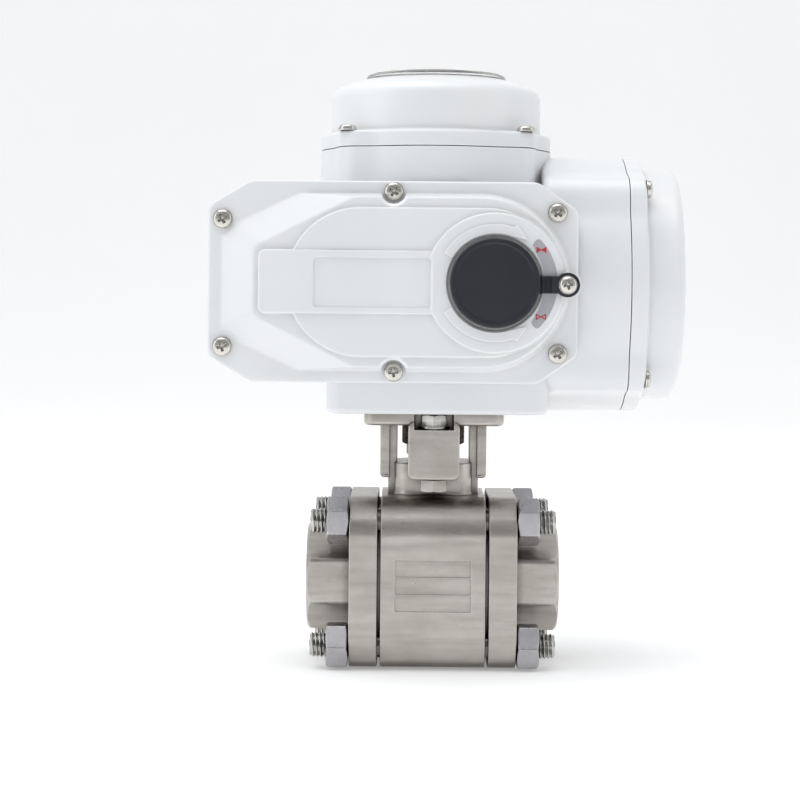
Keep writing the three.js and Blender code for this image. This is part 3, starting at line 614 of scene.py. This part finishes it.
# ---------------------------------------------------------------- pieces
def piece(name, bm, material, body=None, replaces=(), angle=SMOOTH_ANGLE, weighted=True, bevel=0.0):
    mesh = bpy.data.meshes.new(name)
    bm.to_mesh(mesh)
    bm.free()
    mesh.polygons.foreach_set("use_smooth", [True] * len(mesh.polygons))
    mesh.set_sharp_from_angle(angle=angle)
    obj = bpy.data.objects.new(name, mesh)
    bpy.context.scene.collection.objects.link(obj)
    mesh.materials.append(material)
    if bevel:
        modifier = obj.modifiers.new("soft_edges", "BEVEL")
        modifier.width = bevel * MM
        modifier.segments = 2
        modifier.limit_method = "ANGLE"
        modifier.angle_limit = SMOOTH_ANGLE
    if weighted:
        modifier = obj.modifiers.new("even_shading", "WEIGHTED_NORMAL")
        modifier.keep_sharp = True
        modifier.weight = 60
    if body:
        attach(obj, body)
    if replaces:
        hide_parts(*replaces)
    return obj


# ---------------------------------------------------------------- painted castings
def front_outline(inset=0.0, soft=2.0):
    (x0, _, z0), (x1, _, z1) = COVER
    corners = [
        (x0 + 12.7, z0), (x1 - 12.2, z0), (x1, z0 + 8.6), (x1, z1 - 8.6),
        (x1 - 12.2, z1), (x0 + 12.7, z1), (x0, z1 - 7.8), (x0, z0 + 7.8),
    ]
    return grow(rounded(corners, soft), -inset)


def four(u, v, at):
    return [(u + a * at, v + b * at) for a, b in ((-1, -1), (1, -1), (-1, 1), (1, 1))]


DRUM_SEAM = TERMINAL[0][0] - 0.4
SEAM_FILL = 0.16  # paint bridges part of the gap between two castings
DRUM_OUTLINE = lobed(DRUM_Z, DRUM_R, 33.9, 8)
TOWER_OUTLINE = lobed(0, TOWER_R, 31.1, 8)
GLAND_AT = [((low[0] + high[0]) / 2, (low[2] + high[2]) / 2) for low, high in GLANDS]
STOP_AT = [((low[0] + high[0]) / 2, (low[2] + high[2]) / 2) for low, high in STOPS]


def rod(axis, centre, r, low, high, sides=64):
    return loft(axis, [(circle(*centre, r, sides), w) for w in (low, high)], [0, 0])


def build_housing():
    (x0, y0, z0), (x1, y1, z1) = HOUSING
    wide = rounded_rect(-33.5, 35.1, -34.3, 34.3, 5)
    skins = [
        slab(front_outline(1.5, 9.0), "y", y0 + 1, 27, 0.3, 1.7),
        slab(front_outline(), "y", y0, y0 + 4.4, 0.5, 0.9),
        slab(wide, "z", z0, 101, 1.8, 0.4),
        slab(TOWER_OUTLINE, "z", 100, z1 + SEAM_FILL, 2.5, 0.25),
        slab(DRUM_OUTLINE, "x", 33, DRUM_SEAM + SEAM_FILL, 2.8, 0.25),
        *[slab(circle(x, z, 10.3), "y", 30, y1, 0.3, 0.8) for x, z in GLAND_AT],
        *[boss(circle(x, z, 6.2), "y", 26.5, 34.3, 0.7, 0.8) for x, z in STOP_AT],
    ]
    motor_x = middle("motor_body", 0)
    hollows = [
        slab(front_outline(4.5), "y", y0 - 1, -31.7, 0.2),
        rod("y", (motor_x, PORT[1]), 21.5, -33.5, 23.5),
        rod("z", (0, 0), 22.8, 87, 146),
        rod("z", (0, 0), 27, 145, z1 + 1),
        rod("y", PORT, 5.6, -33.5, 24),
        rod("y", PORT, 6.6, -34, -27),
        rod("x", (0, DRUM_Z), 36.5, 39.5, DRUM_SEAM + 1),
        rod("z", (0, 0), 12.3, z0 - 1, 88),
        *[rod("y", at, 7.8, 28, 44) for at in GLAND_AT],
        *[rod("y", at, 2.8, 10, 36) for at in STOP_AT],
        *[rod("z", at, 2.8, z0 - 1, 88, 24) for at in four(0, 0, 12.73)],
    ]
    return piece("housing_casting", cut(join(*skins), *hollows), PAINT, "housing", ["gear_housing"])


def panel_outline(edge, r, soft=0.7):
    """The raised panel: a half circle on the right and the edge, mirrored below the port's axis, on the left."""
    z = PORT[1]
    corners = arc(13.5, z, r, -90, 90, 30)
    corners += [(x, z + dz) for x, dz in reversed(edge)]
    corners += [(x, z - dz) for x, dz in edge]
    return rounded(corners, soft, 2)


def polar(r, degrees):
    a = math.radians(degrees)
    return PORT[0] + r * math.cos(a), PORT[1] + r * math.sin(a)


def arrow_outline(side):
    """A curved arrow over (side 1) or under (side -1) the port, pointing right."""
    band = [*arc(*PORT, 15.0, 150, 71, 24), polar(16.2, 54), polar(18.4, 69), polar(17.5, 71)]
    band += arc(*PORT, 17.5, 73, 149, 24)
    if side > 0:
        return band[::-1]
    return [(x, 2 * PORT[1] - z) for x, z in band]


def arrow(side):
    outline = arrow_outline(side)
    levels = [(outline, HUB_FACE + 0.3), (outline, HUB_FACE - 0.3), (grow(outline, -0.14), HUB_FACE - 0.42)]
    return loft("y", levels, [0, 0, 0])


def build_front_cover():
    (x0, _, z0), (x1, back, z1) = COVER
    z = PORT[1]
    wide = panel_outline([(-65, 13.9), (-61.4, 17.5), (-41.9, 26.6)], 26.6)
    face = panel_outline([(-55, 9.4), (-53.7, 10.9), (-24.6, 25.5)], 25.5)
    slope = [(grow(wide, 1.4), FLANGE_FACE + 0.6), (grow(wide, 1.4), FLANGE_FACE - 0.01), (wide, FLANGE_FACE - 0.02)]
    slope += [(face, PLATEAU_FACE), (grow(face, -0.9), PLATEAU_FACE)]
    rim = arc(15.1, z, 22.3, -90, 90, 40) + arc(-22.7, z, 22.3, 90, 270, 40)
    bar = [(-53.2, z - 9.5), (10, z - 9.5), (10, z + 9.5), (-53.2, z + 9.5)]
    skins = [
        slab(front_outline(), "y", FLANGE_FACE, back, 0.9, 0.4),
        loft("y", slope, [0, 0, 0.8, 0.8, 0], 5),
        boss(rim, "y", PLATEAU_FACE, RIM_FACE, 0.5, 0.35),
        boss(rounded(bar, 2.2, 5), "y", PLATEAU_FACE, HUB_FACE + 0.4, 0.4, 0.3, sink=1.0),
        boss(circle(*PORT, 20.9, 120), "y", RIM_FACE, HUB_FACE, 0.5, 0.35, sink=1.8),
        boss(circle(middle("tether_screw", 0), middle("tether_screw", 2), 3.9), "y", FLANGE_FACE, HUB_FACE, 0.4, 0.5),
        *[arrow(side) for side in (1, -1)],
    ]
    notch = [(3.8, FLANGE_FACE), (3.8, PLATEAU_FACE + 0.9), (4.9, PLATEAU_FACE - 0.3), (4.9, HUB_FACE - 1)]
    notch = [(0, FLANGE_FACE), *notch, (0, HUB_FACE - 1)]
    recess = [(0, -49), (12.5, -49), (12.5, -53), (14.0, -53), (14.3, -53.3), (14.3, HUB_FACE + 0.35)]
    recess += [(14.7, HUB_FACE - 0.02), (14.7, HUB_FACE - 1), (0, HUB_FACE - 1)]
    plate = rounded_rect(-36.8, -1.7, z - 7.6, z + 7.3, 1)
    plate_cut = [(plate, HUB_FACE + 0.9), (plate, HUB_FACE + 0.6), (grow(plate, 0.35), HUB_FACE + 0.36)]
    plate_cut += [(grow(plate, 0.35), HUB_FACE - 1)]
    hollows = [
        slab(panel_outline([(-55, 9), (-51.4, 12.6), (-36, 23)], 23), "y", -49.5, back + 1, 0.2),
        turned(recess, "y", PORT),
        loft("y", plate_cut, [0, 0, 0, 0]),
        *[turned(notch, "y", at, 48) for at in FRONT_SCREWS[2:4]],
    ]
    return piece("front_cover_casting", cut(join(*skins), *hollows), PAINT, "housing", ["front_cover"])


FRONT_SCREWS = [(x, COVER[0][2] + dz) for x, dz in (
    (-64.6, 49.2), (-64.5, 10.7), (-13.0, 57.8), (-12.7, 3.4), (36.5, 51.8), (36.8, 9.2),
)]


def build_indicator_cover():
    (_, _, base), (_, _, top) = DOME
    profile = [(0, base), (33.65, base), (33.65, 181), (31.9, 183.4), (22.9, top), (20.2, top), (20.2, top - 6), (0, top - 6)]
    shell = turned(profile, "z", (0, 0), 160, [0, 0, 2.0, 2.4, 0.7, 0.4, 0, 0], 6)
    foot = [(0, 167.8), (35.4, 167.8), (35.4, 168.41), (33.6, 168.42), (33.6, 172), (0, 172)]
    skins = [
        slab(TOWER_OUTLINE, "z", base, 168.4, 0.25, 1.1),
        shell,
        turned(foot, "z", (0, 0), 160, [0, 0, 0, 1.6, 0, 0], 5),
    ]
    hollows = [turned([(0, base - 1), (30.5, base - 1), (30.5, 178.6), (20.1, 183.9), (0, 183.9)], "z", (0, 0), 96)]
    return piece("indicator_cover_casting", cut(join(*skins), *hollows), PAINT, "housing", ["indicator_cover"])


def build_terminal_cover():
    (base, _, _), (end, _, _) = TERMINAL
    at = (0, DRUM_Z)
    drum = turned([(0, base), (37, base), (37, end), (0, end)], "x", at, 160, [0, 0, 3.0, 0], 8)
    foot = [(0, 64.4), (38.8, 64.4), (38.8, 65.01), (36.95, 65.02), (36.95, 69), (0, 69)]
    skins = [
        slab(DRUM_OUTLINE, "x", base, 65, 0.25, 1.1),
        drum,
        turned(foot, "x", at, 160, [0, 0, 0, 1.6, 0, 0], 5),
    ]
    hollows = [turned([(0, base - 1), (34, base - 1), (34, 72.4), (32.5, 73.8), (0, 73.8)], "x", at, 96)]
    return piece("terminal_cover_casting", cut(join(*skins), *hollows), PAINT, "housing", ["terminal_cover"])


# ---------------------------------------------------------------- screws
FACING = {
    "-y": Matrix.Rotation(math.radians(90), 4, "X"),
    "+y": Matrix.Rotation(math.radians(-90), 4, "X"),
    "+x": Matrix.Rotation(math.radians(90), 4, "Y"),
    "+z": Matrix.Identity(4),
}


def pan_head(r, height, turn):
    """A pan head with a cross recess, standing on z = 0."""
    sides, rings = 96, 26
    arm, reach, deep = 0.12 * r, 0.52 * r, 0.48 * height

    def crown(radius, angle):
        share = radius / r
        z = height * (0.5 + 0.5 * math.sqrt(max(0.0, 1 - share ** 2.6)))
        a, b = abs(radius * math.cos(angle - turn)), abs(radius * math.sin(angle - turn))
        wall = min(max(a - arm, b - reach), max(b - arm, a - reach), math.hypot(a, b) - arm * 1.7)
        inside = min(1.0, max(0.0, 0.5 - wall / (0.07 * r)))
        return z - deep * inside * (1 - 0.45 * share)

    rows = [[(0, 0, 0)]]
    rows.append([(p[0], p[1], 0) for p in circle(0, 0, r * 0.95, sides)])
    rows.append([(p[0], p[1], height * 0.06) for p in circle(0, 0, r, sides)])
    for k in range(rings, 0, -1):
        radius = r * math.sin(math.pi / 2 * k / rings) if k > rings * 0.6 else r * 0.8090 * k / (rings * 0.6)
        row = []
        for i in range(sides):
            a = 2 * math.pi * i / sides
            row.append((radius * math.cos(a), radius * math.sin(a), crown(radius, a)))
        rows.append(row)
    rows.append([(0, 0, crown(0, 0))])
    return closed_skin(rows)


def place_skin(bm, facing, at):
    bm.transform(Matrix.Translation([c * MM for c in at]) @ FACING[facing])
    return bm


def screw(name, at, facing, r=2.75, height=1.9, replaces=()):
    head = pan_head(r, height, RANDOM.uniform(0, math.pi / 2))
    washer = slab(circle(0, 0, r * 1.09, 64), "z", 0, 0.42, 0.12)
    bm = place_skin(join(washer, head), facing, at)
    return piece(name, bm, NICKEL, "housing", replaces, math.radians(50))


def build_screws():
    for i, (x, z) in enumerate(FRONT_SCREWS):
        screw(f"front_screw_{i + 1}", (x, FLANGE_FACE, z), "-y")
    for i, (y, z) in enumerate(four(0, DRUM_Z, 29.3)):
        screw(f"terminal_screw_{i + 1}", (65, y, z), "+x")
    for i, (x, y) in enumerate(four(0, 0, 27.7)):
        screw(f"tower_screw_{i + 1}", (x, y, 168.4), "+z")
    low, high = TETHER_SCREW
    at = ((low[0] + high[0]) / 2, low[1] + 2.0, (low[2] + high[2]) / 2)
    screw("tether_screw_head", at, "-y", (high[2] - low[2]) / 2 / 1.09, 2.0, ["tether_screw"])


# ---------------------------------------------------------------- manual port: cap, strap and label
def build_port_cap():
    low, high = PORT_CAP
    face = low[1]
    profile = [
        (0, high[1]), (10.6, high[1]), (11.2, -53.3), (CAP_R, -53.3), (CAP_R, face), (12.0, face),
        (11.6, face + 0.14), (0, face + 0.1),
    ]
    disc = turned(profile, "y", PORT, 128, [0, 0.4, 0.1, 0.3, 0.9, 0.2, 0.2, 0], 6)
    return piece("port_cap_disc", disc, RUBBER, "port_cap", ["manual_port_cap"])


def build_strap():
    """The rubber strap with its ribbed living hinge, from under the cap's edge to the eyelet."""
    low, high = TETHER
    z = (STRAP_Z[0] + STRAP_Z[1]) / 2
    half = (STRAP_Z[1] - STRAP_Z[0]) / 2
    rows = []
    x = PORT[0] + CAP_R - 1.6
    end = middle("tether_screw", 0) - 2.6
    steps = 44
    for i in range(steps + 1):
        here = x + (end - x) * i / steps
        wave = math.cos((here - HINGE_X) * 2 * math.pi / 1.15) if abs(here - HINGE_X) < 1.75 else 0.0
        front = low[1] - 0.1 - 0.32 * max(0.0, wave) + (0.18 if wave < 0 else 0.0)
        rear = high[1] - (0.2 if abs(here - HINGE_X) < 1.75 else 0.0)
        wide = half * (1.06 if here < HINGE_X - 1.0 else 1.0)
        section = rounded_rect(front, rear, z - wide, z + wide, 0.35, 3)
        rows.append([(here, u, v) for u, v in section])
    strap = closed_skin(rows)
    at = (middle("tether_screw", 0), middle("tether_screw", 2))
    eyelet = slab(circle(*at, 3.72, 72), "y", low[1] - 0.1, high[1], 0.45, 0.2)
    obj = piece("cap_strap", join(strap, eyelet), RUBBER, None, ["cap_tether"])
    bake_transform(obj)
    return obj


def build_label():
    outer = [polar(18.7, a) for a in range(-46, 46, 3)]
    inner = [polar(14.85 + 1.1 * (abs(a) / 46) ** 3, a) for a in range(44, -47, -3)]
    outline = rounded([*outer, polar(18.2, 46.5), polar(16.4, 46.5), *inner, polar(16.4, -48), polar(18.0, -48)], 0.8, 3)
    plate = slab(outline, "y", HUB_FACE - 0.12, HUB_FACE + 0.2, 0.04, steps=2)
    piece("port_label", plate, FOIL, "housing")
    for name, degrees, hollow in (("label_mark_closed", 36, False), ("label_mark_open", -36, True)):
        u, v = polar(17.0, degrees)
        size, tall = 1.5, 0.95
        marks = []
        for way in (-1, 1):
            wing = [(u, v + 0.12), (u + way * size, v + tall), (u + way * size, v - tall), (u, v - 0.12)]
            wing = wing if way < 0 else wing[::-1]
            mark = slab(wing, "y", HUB_FACE - 0.17, HUB_FACE - 0.02, 0.01, steps=1)
            if hollow:
                mid = [(u + way * 0.42, v), (u + way * (size - 0.28), v + 0.42), (u + way * (size - 0.28), v - 0.42)]
                mid = mid if way < 0 else mid[::-1]
                mark = cut(mark, loft("y", [(mid, HUB_FACE - 1), (mid, HUB_FACE + 1)], [0, 0]))
            marks.append(mark)
        piece(name, join(*marks), RED, "housing")


STRAP_Z = (118.3, 123.5)
HINGE_X = frame["joints"][[j["name"] for j in frame["joints"]].index("port_cap_hinge")]["pos_m"][0] / MM


# ---------------------------------------------------------------- window and dial
def build_window():
    seat = DOME[1][2]
    rim = WINDOW[0][2] + 1.5
    top = WINDOW[1][2]
    profile = [
        (0, top), (12, top - 0.6), (21.2, top - 1.7), (22.4, top - 2.4), (22.4, seat + 0.3), (19.9, seat + 0.3),
        (19.9, WINDOW[0][2]), (18.6, WINDOW[0][2]), (18.6, rim), (10, top - 2), (0, top - 1.6),
    ]
    dome = turned(profile, "z", (0, 0), 128, [0, 4, 1.0, 0.6, 0.3, 0.2, 0.2, 0.2, 0.4, 3, 0], 5)
    piece("window_dome", dome, CLEAR, "housing", ["indicator_window"])


def build_dial():
    low, high = DIAL
    disc = slab(circle(0, 0, 17.6, 96), "z", 183.4, 184.8, 0.2, 0.35)
    stem = slab(circle(0, 0, 6, 48), "z", low[2], 184, 0.2)
    knob = slab(circle(0, 0, 6.5, 72), "z", 184.7, high[2], 0.1, 0.4)
    hole = rod("z", (0, 0), 3.3, 170, 185.4, 32)
    piece("dial_disc", cut(join(disc, stem), hole), CAD_LOOKS["yellow_plastic"], "output", ["indicator_dial"])
    piece("dial_knob", cut(knob, hole_again()), BLACK_PLASTIC, "output")
    for name, start, look in (("dial_mark_open", 0, GREEN), ("dial_mark_closed", 90, RED)):
        for k, turn in enumerate((start, start + 180)):
            band = arc(0, 0, 16.4, turn - 30, turn + 30, 20) + arc(0, 0, 11.8, turn + 30, turn - 30, 20)
            piece(f"{name}_{k + 1}", slab(band, "z", 184.7, 184.9, 0.03, steps=1), look, "output")
    arrow = [(7.4, -1.6), (10.4, -1.6), (10.4, -2.9), (14.6, 0), (10.4, 2.9), (10.4, 1.6), (7.4, 1.6)]
    for k, way in enumerate((1, -1)):
        outline = [(way * u, way * v) for u, v in arrow]
        piece(f"dial_arrow_{k + 1}", slab(outline, "z", 184.7, 185.05, 0.05, steps=2), BLACK, "output")


def hole_again():
    return rod("z", (0, 0), 3.3, 170, 185.4, 32)


# ---------------------------------------------------------------- valve
VALVE_SQUARE = rounded_rect(-HALF_SQUARE, HALF_SQUARE, FLOW_Z - HALF_SQUARE, FLOW_Z + HALF_SQUARE, 12, 14)
STUD_AT = [((low[1] + high[1]) / 2, (low[2] + high[2]) / 2) for low, high in STUD]
STEM = (0, 0)
NECK = rounded_rect(-12.4, 12.4, -12.4, 12.4, 6, 10)
LUG_BOLT = middle("stop_bolt", 1)


def build_valve_body():
    top = PAD_TOP
    square_top = FLOW_Z + HALF_SQUARE
    web = [(11.5, 78), (11.5, 50), (16.2, 50), (14.4, 54.5), (14.4, 78)]
    webs = (web, [(-u, w) for u, w in reversed(web)])
    edge = [(17, 59.8), (17, 78), (13.8, 78), (13.8, 59), (16.2, 59)]
    edges = (edge, [(-u, w) for u, w in reversed(edge)])
    neck = [(NECK, 45), (grow(NECK, 1.6), square_top - 1), (grow(NECK, 1.6), square_top - 0.03)]
    neck += [(NECK, square_top - 0.02), (NECK, 64), (grow(NECK, -2), 64)]
    skins = [
        slab(VALVE_SQUARE, "x", -16.4, 16.4, 0.45),
        loft("z", neck, [0, 0, 0, 1.6, 0.5, 0], 5),
        *[slab(rounded(side, 0.6, 3), "y", -6.2, 6.2, 0.3) for side in webs],
        *[slab(rounded(side, 0.6, 3), "y", -7, 7, 0.45) for side in edges],
        slab(rounded_rect(-22, 22, -22, 22, 4), "z", top - 4.6, top, 1.3, 0.4),
        slab(rounded_rect(-8.05, 8.05, 59.6, 77.6, 1.8), "y", -23.5, -11, 0.75, 0.3),
    ]
    hollows = [
        rod("x", (0, FLOW_Z), 17.5, -17.4, 17.4, 96),
        *[rod("x", at, 4.4, -17.4, 17.4, 40) for at in STUD_AT],
        rod("z", STEM, 7.5, 40, 48.3),
        rod("z", STEM, 5.4, 47, 57),
        rod("z", STEM, 8.2, 56, 65),
        turned([(0, top - 6), (10.5, top - 6), (10.5, top - 0.4), (11.0, top + 0.1), (11, top + 1), (0, top + 1)], "z", STEM),
        rod("z", (0, LUG_BOLT), 2.8, 57, 80, 40),
        slab(rounded_rect(-6.25, 6.25, -24.5, -12.5, 0.5), "z", 75.2, top + 1, 0.0),
        *[rod("z", at, 2.8, top - 6, top + 1, 40) for at in four(0, 0, 12.73)],
    ]
    for row in (-1, 0, 1):
        middle_z = FLOW_Z + row * 5.4
        field = rounded_rect(-11.8, 11.8, middle_z - 2.55, middle_z + 2.55, 0.5, 3)
        steps = [(field, -HALF_SQUARE + 0.35), (grow(field, 0.1), -HALF_SQUARE + 0.02), (grow(field, 0.2), -HALF_SQUARE - 1)]
        hollows.append(loft("y", steps, [0, 0, 0]))
    return piece("valve_body_casting", cut(join(*skins), *hollows), CAST, "housing", ["valve_body"])


def build_end_cap(side):
    node = "end_cap_right" if side > 0 else "end_cap_left"
    near, flange, end = 17.4, 26.2, (CAP_RIGHT if side > 0 else CAP_LEFT)[1 if side > 0 else 0][0]
    at = (0, FLOW_Z)

    def span(a, b):
        return sorted((side * a, side * b))

    octagon = rounded(across_flats(*at, 33, 8), 1.0, 4)
    shank = loft("x", [(octagon, side * (flange - 3)), (octagon, end)], [0, 0])
    outer = 17.9
    lathe = [(0, side * (flange - 4)), (19, side * (flange - 4)), (19, side * 37.2), (outer - 0.9, side * 39.3)]
    lathe += [(outer - 1.9, end), (0, end)]
    shank = combine(shank, [turned(lathe, "x", at, 128, [0, 0, 3.2, 1.2, 0.4, 0], 6)], "INTERSECT")
    skins = [slab(VALVE_SQUARE, "x", *span(near, flange), 0.45), shank]
    socket = [(0, side * 26.4), (11.4, side * 26.4)]
    pitch, x = 1.81, 27.0
    while x + pitch < 38.6:
        socket += [(11.7, side * x), (12.45, side * (x + pitch / 2))]
        x += pitch
    socket += [(11.7, side * x), (13.4, end), (13.4, side * 41), (0, side * 41)]
    hollows = [
        rod("x", at, 10, *span(near - 1, 30), 96),
        turned(socket, "x", at, 128),
        *[rod("x", stud, 4.4, *span(near - 1, flange + 1), 40) for stud in STUD_AT],
    ]
    return piece(f"{node}_casting", cut(join(*skins), *hollows), CAST, "housing", [node])


def build_studs():
    turns = [0, 12, 30, 21]
    for i, at in enumerate(STUD_AT):
        end = STUD[i][1][0]
        name = f"body_stud_{i + 1}"
        rod_skin = join(
            rod("x", at, 3.9, -26, 26, 36),
            thread("x", at, 4.0, 25, end, 1.25, 0.62),
            thread("x", at, 4.0, -end, -25, 1.25, 0.62),
        )
        piece(f"{name}_thread", rod_skin, STUD_STEEL, "housing", [name], math.radians(60), False)
        for side in (1, -1):
            low, high = sorted((side * 26.5, side * 33.3))
            nut = cut(
                hex_nut("x", at, 13, low, high, turns[i]),
                turned([(0, low - 1), (4.9, low - 1), (4.9, low), (4.05, low + 0.8), (4.05, high - 0.8), (4.9, high), (4.9, high + 1), (0, high + 1)], "x", at, 48),
            )
            tag = "right" if side > 0 else "left"
            piece(f"{name}_nut_{tag}", nut, NUT_STEEL, "housing", bevel=0.22)


def build_neck_hardware():
    nut = cut(hex_nut("z", STEM, 17.6, STEM_NUT[0][2], STEM_NUT[1][2], 30), rod("z", STEM, 5.3, 60, 80))
    piece("stem_nut_machined", nut, MACHINED, "output", ["stem_nut"])
    at = (0, LUG_BOLT)
    low, high = STOP_BOLT
    head = hex_nut("z", at, 8, low[2], low[2] + 3.6, 0, chamfer_high=False)
    bolt = join(head, thread("z", at, 2.5, low[2] + 3.2, high[2], 0.8, 0.4, 32))
    piece("stop_bolt_machined", bolt, CAST, "housing", ["stop_bolt"])
    low, high = STOP_NUT
    washer = slab(circle(*at, 5, 64), "z", low[2], low[2] + 0.8, 0.12)
    nut = hex_nut("z", at, 8, low[2] + 0.7, high[2], 0, chamfer_low=False)
    nut = cut(join(washer, nut), rod("z", at, 2.8, 70, 90, 40))
    piece("stop_nut_machined", nut, STUD_STEEL, "housing", ["stop_nut"])


# ---------------------------------------------------------------- rear fittings
def build_glands():
    for i, at in enumerate(GLAND_AT):
        low, high = GLANDS[i]
        body = hex_nut("y", at, 20, 43.3, 48.3, 0, 6)
        node = f"cable_gland_{i + 1}"
        shank = [slab(circle(*at, (r), 64), "y", a, b, 0.2) for r, a, b in GLAND_STEPS]
        piece(f"{node}_moulded", join(body, *shank), BLACK_PLASTIC, "housing", [node])
        low, high = GLAND_NUTS[i]
        outline = []
        for k in range(144):
            a = 2 * math.pi * k / 144
            r = 9.25 - 0.42 * (0.5 + 0.5 * math.cos(a * 16)) ** 3
            outline.append((at[0] + r * math.cos(a), at[1] + r * math.sin(a)))
        tip = [(at[0] + (u - at[0]) * 0.62, at[1] + (v - at[1]) * 0.62) for u, v in outline]
        near = high[1] - 5.5
        shell = loft("y", [
            (grow(outline, -0.6), low[1]), (outline, low[1]), (outline, near), (tip, high[1]), (grow(tip, -1.2), high[1]),
        ], [0, 0.5, 3.4, 1.4, 0], 6)
        bore = turned([(0, high[1] - 3), (4.4, high[1] - 3), (4.4, high[1] - 0.3), (4.8, high[1] + 1), (0, high[1] + 1)], "y", at, 64)
        piece(f"gland_nut_{i + 1}_moulded", cut(shell, bore), BLACK_PLASTIC, "housing", [f"gland_nut_{i + 1}"])
        plug = turned([(0, high[1] - 3.4), (4.3, high[1] - 3.4), (4.3, high[1] - 1.0), (0, high[1] - 0.6)], "y", at, 48, [0, 0.2, 0.8, 0])
        piece(f"gland_plug_{i + 1}", plug, RUBBER, "housing")


GLAND_STEPS = [(7.5, 36, 43.6), (7.0, 48.0, 49.5)]


def build_stop_screws():
    for i, at in enumerate(STOP_AT):
        low, high = STOPS[i]
        node = f"travel_stop_screw_{i + 1}"
        screw_skin = thread("y", at, 2.5, low[1], high[1], 0.8, 0.4, 32)
        socket = loft("y", [(across_flats(*at, 2.5, 6), high[1] - 2.4), (across_flats(*at, 2.5, 6), high[1] + 1)], [0, 0])
        nut = hex_nut("y", at, 8, 34.6, 38.6, 30)
        piece(f"{node}_threaded", cut(join(screw_skin, nut), socket), STUD_STEEL, "housing", [node])


# ---------------------------------------------------------------- the frame's own nodes
def dress_frame():
    slots = {row["node"]: row["material_slot"] for row in frame["record"]["subparts"]}
    for name, node in frame["nodes"].items():
        node.data.materials.clear()
        node.data.materials.append(CAD_LOOKS[slots[name]])


# ---------------------------------------------------------------- camera, light and floor
LENS_M = 0.698


def stage_scene():
    camera_data = bpy.data.cameras.new("camera")
    camera = bpy.data.objects.new("camera", camera_data)
    bpy.context.scene.collection.objects.link(camera)
    camera_data.lens = 97.2
    camera_data.sensor_width = 36
    camera_data.shift_x = -0.0125
    camera_data.shift_y = -0.1375
    camera_data.dof.use_dof = False
    turn = Matrix.Rotation(math.radians(90), 4, "X") @ Matrix.Rotation(math.radians(0.5), 4, "Z")
    camera.matrix_world = Matrix.Translation((-0.0079, -LENS_M, 0.119)) @ turn
    bpy.context.scene.camera = camera
    bpy.context.scene.view_settings.view_transform = "Standard"

    ground = CAD_BOX[0].z
    sweep = bmesh.new()
    profile = [(-3.0, 0.0), (1.2, 0.0)]
    profile += [(1.2 + 0.8 * math.sin(a), 0.8 - 0.8 * math.cos(a)) for a in [math.pi / 2 * k / 16 for k in range(1, 17)]]
    profile += [(2.0, 4.0)]
    rows = [[sweep.verts.new((x, y, ground + z)) for x in (-4.0, 4.0)] for y, z in profile]
    for a, b in zip(rows, rows[1:]):
        sweep.faces.new((a[0], a[1], b[1], b[0]))
    mesh = bpy.data.meshes.new("floor")
    sweep.to_mesh(mesh)
    sweep.free()
    mesh.polygons.foreach_set("use_smooth", [True] * len(mesh.polygons))
    floor = bpy.data.objects.new("floor", mesh)
    bpy.context.scene.collection.objects.link(floor)
    g = Graph("pale_floor")
    tone = g.mix(g.ramp(g.noise(3, 2), 0.3, 0.7), (0.86, 0.86, 0.86), (0.88, 0.88, 0.88))
    mesh.materials.append(g.put(Base_Color=tone, Roughness=0.9, Emission_Color=(1, 1, 1, 1), Emission_Strength=0.26))

    world = bpy.data.worlds.new("studio")
    bpy.context.scene.world = world
    world.use_nodes = True
    tree = world.node_tree
    background = tree.nodes["Background"]
    background.inputs["Color"].default_value = (0.96, 0.98, 1.0, 1)
    way = tree.nodes.new("ShaderNodeSeparateXYZ")
    tree.links.new(tree.nodes.new("ShaderNodeTexCoord").outputs["Generated"], way.inputs[0])
    level = tree.nodes.new("ShaderNodeMapRange")
    tree.links.new(way.outputs["Y"], level.inputs["Value"])
    for key, value in WORLD_LIGHT.items():
        level.inputs[key].default_value = value
    tree.links.new(level.outputs["Result"], background.inputs["Strength"])

    for name, where, size, power, tone in LIGHTS:
        light = bpy.data.lights.new(name, "AREA")
        light.shape = "RECTANGLE"
        light.size, light.size_y = size
        light.energy = power
        light.color = tone
        lamp = bpy.data.objects.new(name, light)
        bpy.context.scene.collection.objects.link(lamp)
        lamp.location = where
        lamp.rotation_mode = "QUATERNION"
        lamp.rotation_quaternion = (Vector((0, 0, 0.1)) - Vector(where)).to_track_quat("-Z", "Y")


# the room is darker behind the camera, so that faces turned to it read greyer than edges and sides
WORLD_LIGHT = {"From Min": -1.0, "From Max": 0.2, "To Min": 0.35, "To Max": 0.76}
LIGHTS = [
    ("key_above", (-0.2, -0.15, 1.3), (1.3, 1.1), 10, (1, 1, 1)),
    ("fill_left", (-1.35, -0.5, 0.55), (0.9, 1.1), 3.4, (0.96, 0.98, 1)),
    ("fill_right", (1.4, -0.35, 0.5), (0.7, 1.0), 1.7, (1, 0.99, 0.97)),
]


dress_frame()
build_housing()
build_front_cover()
build_indicator_cover()
build_terminal_cover()
build_screws()
build_port_cap()
build_strap()
build_label()
build_window()
build_dial()
build_valve_body()
for way in (1, -1):
    build_end_cap(way)
build_studs()
build_neck_hardware()
build_glands()
build_stop_screws()
stage_scene()
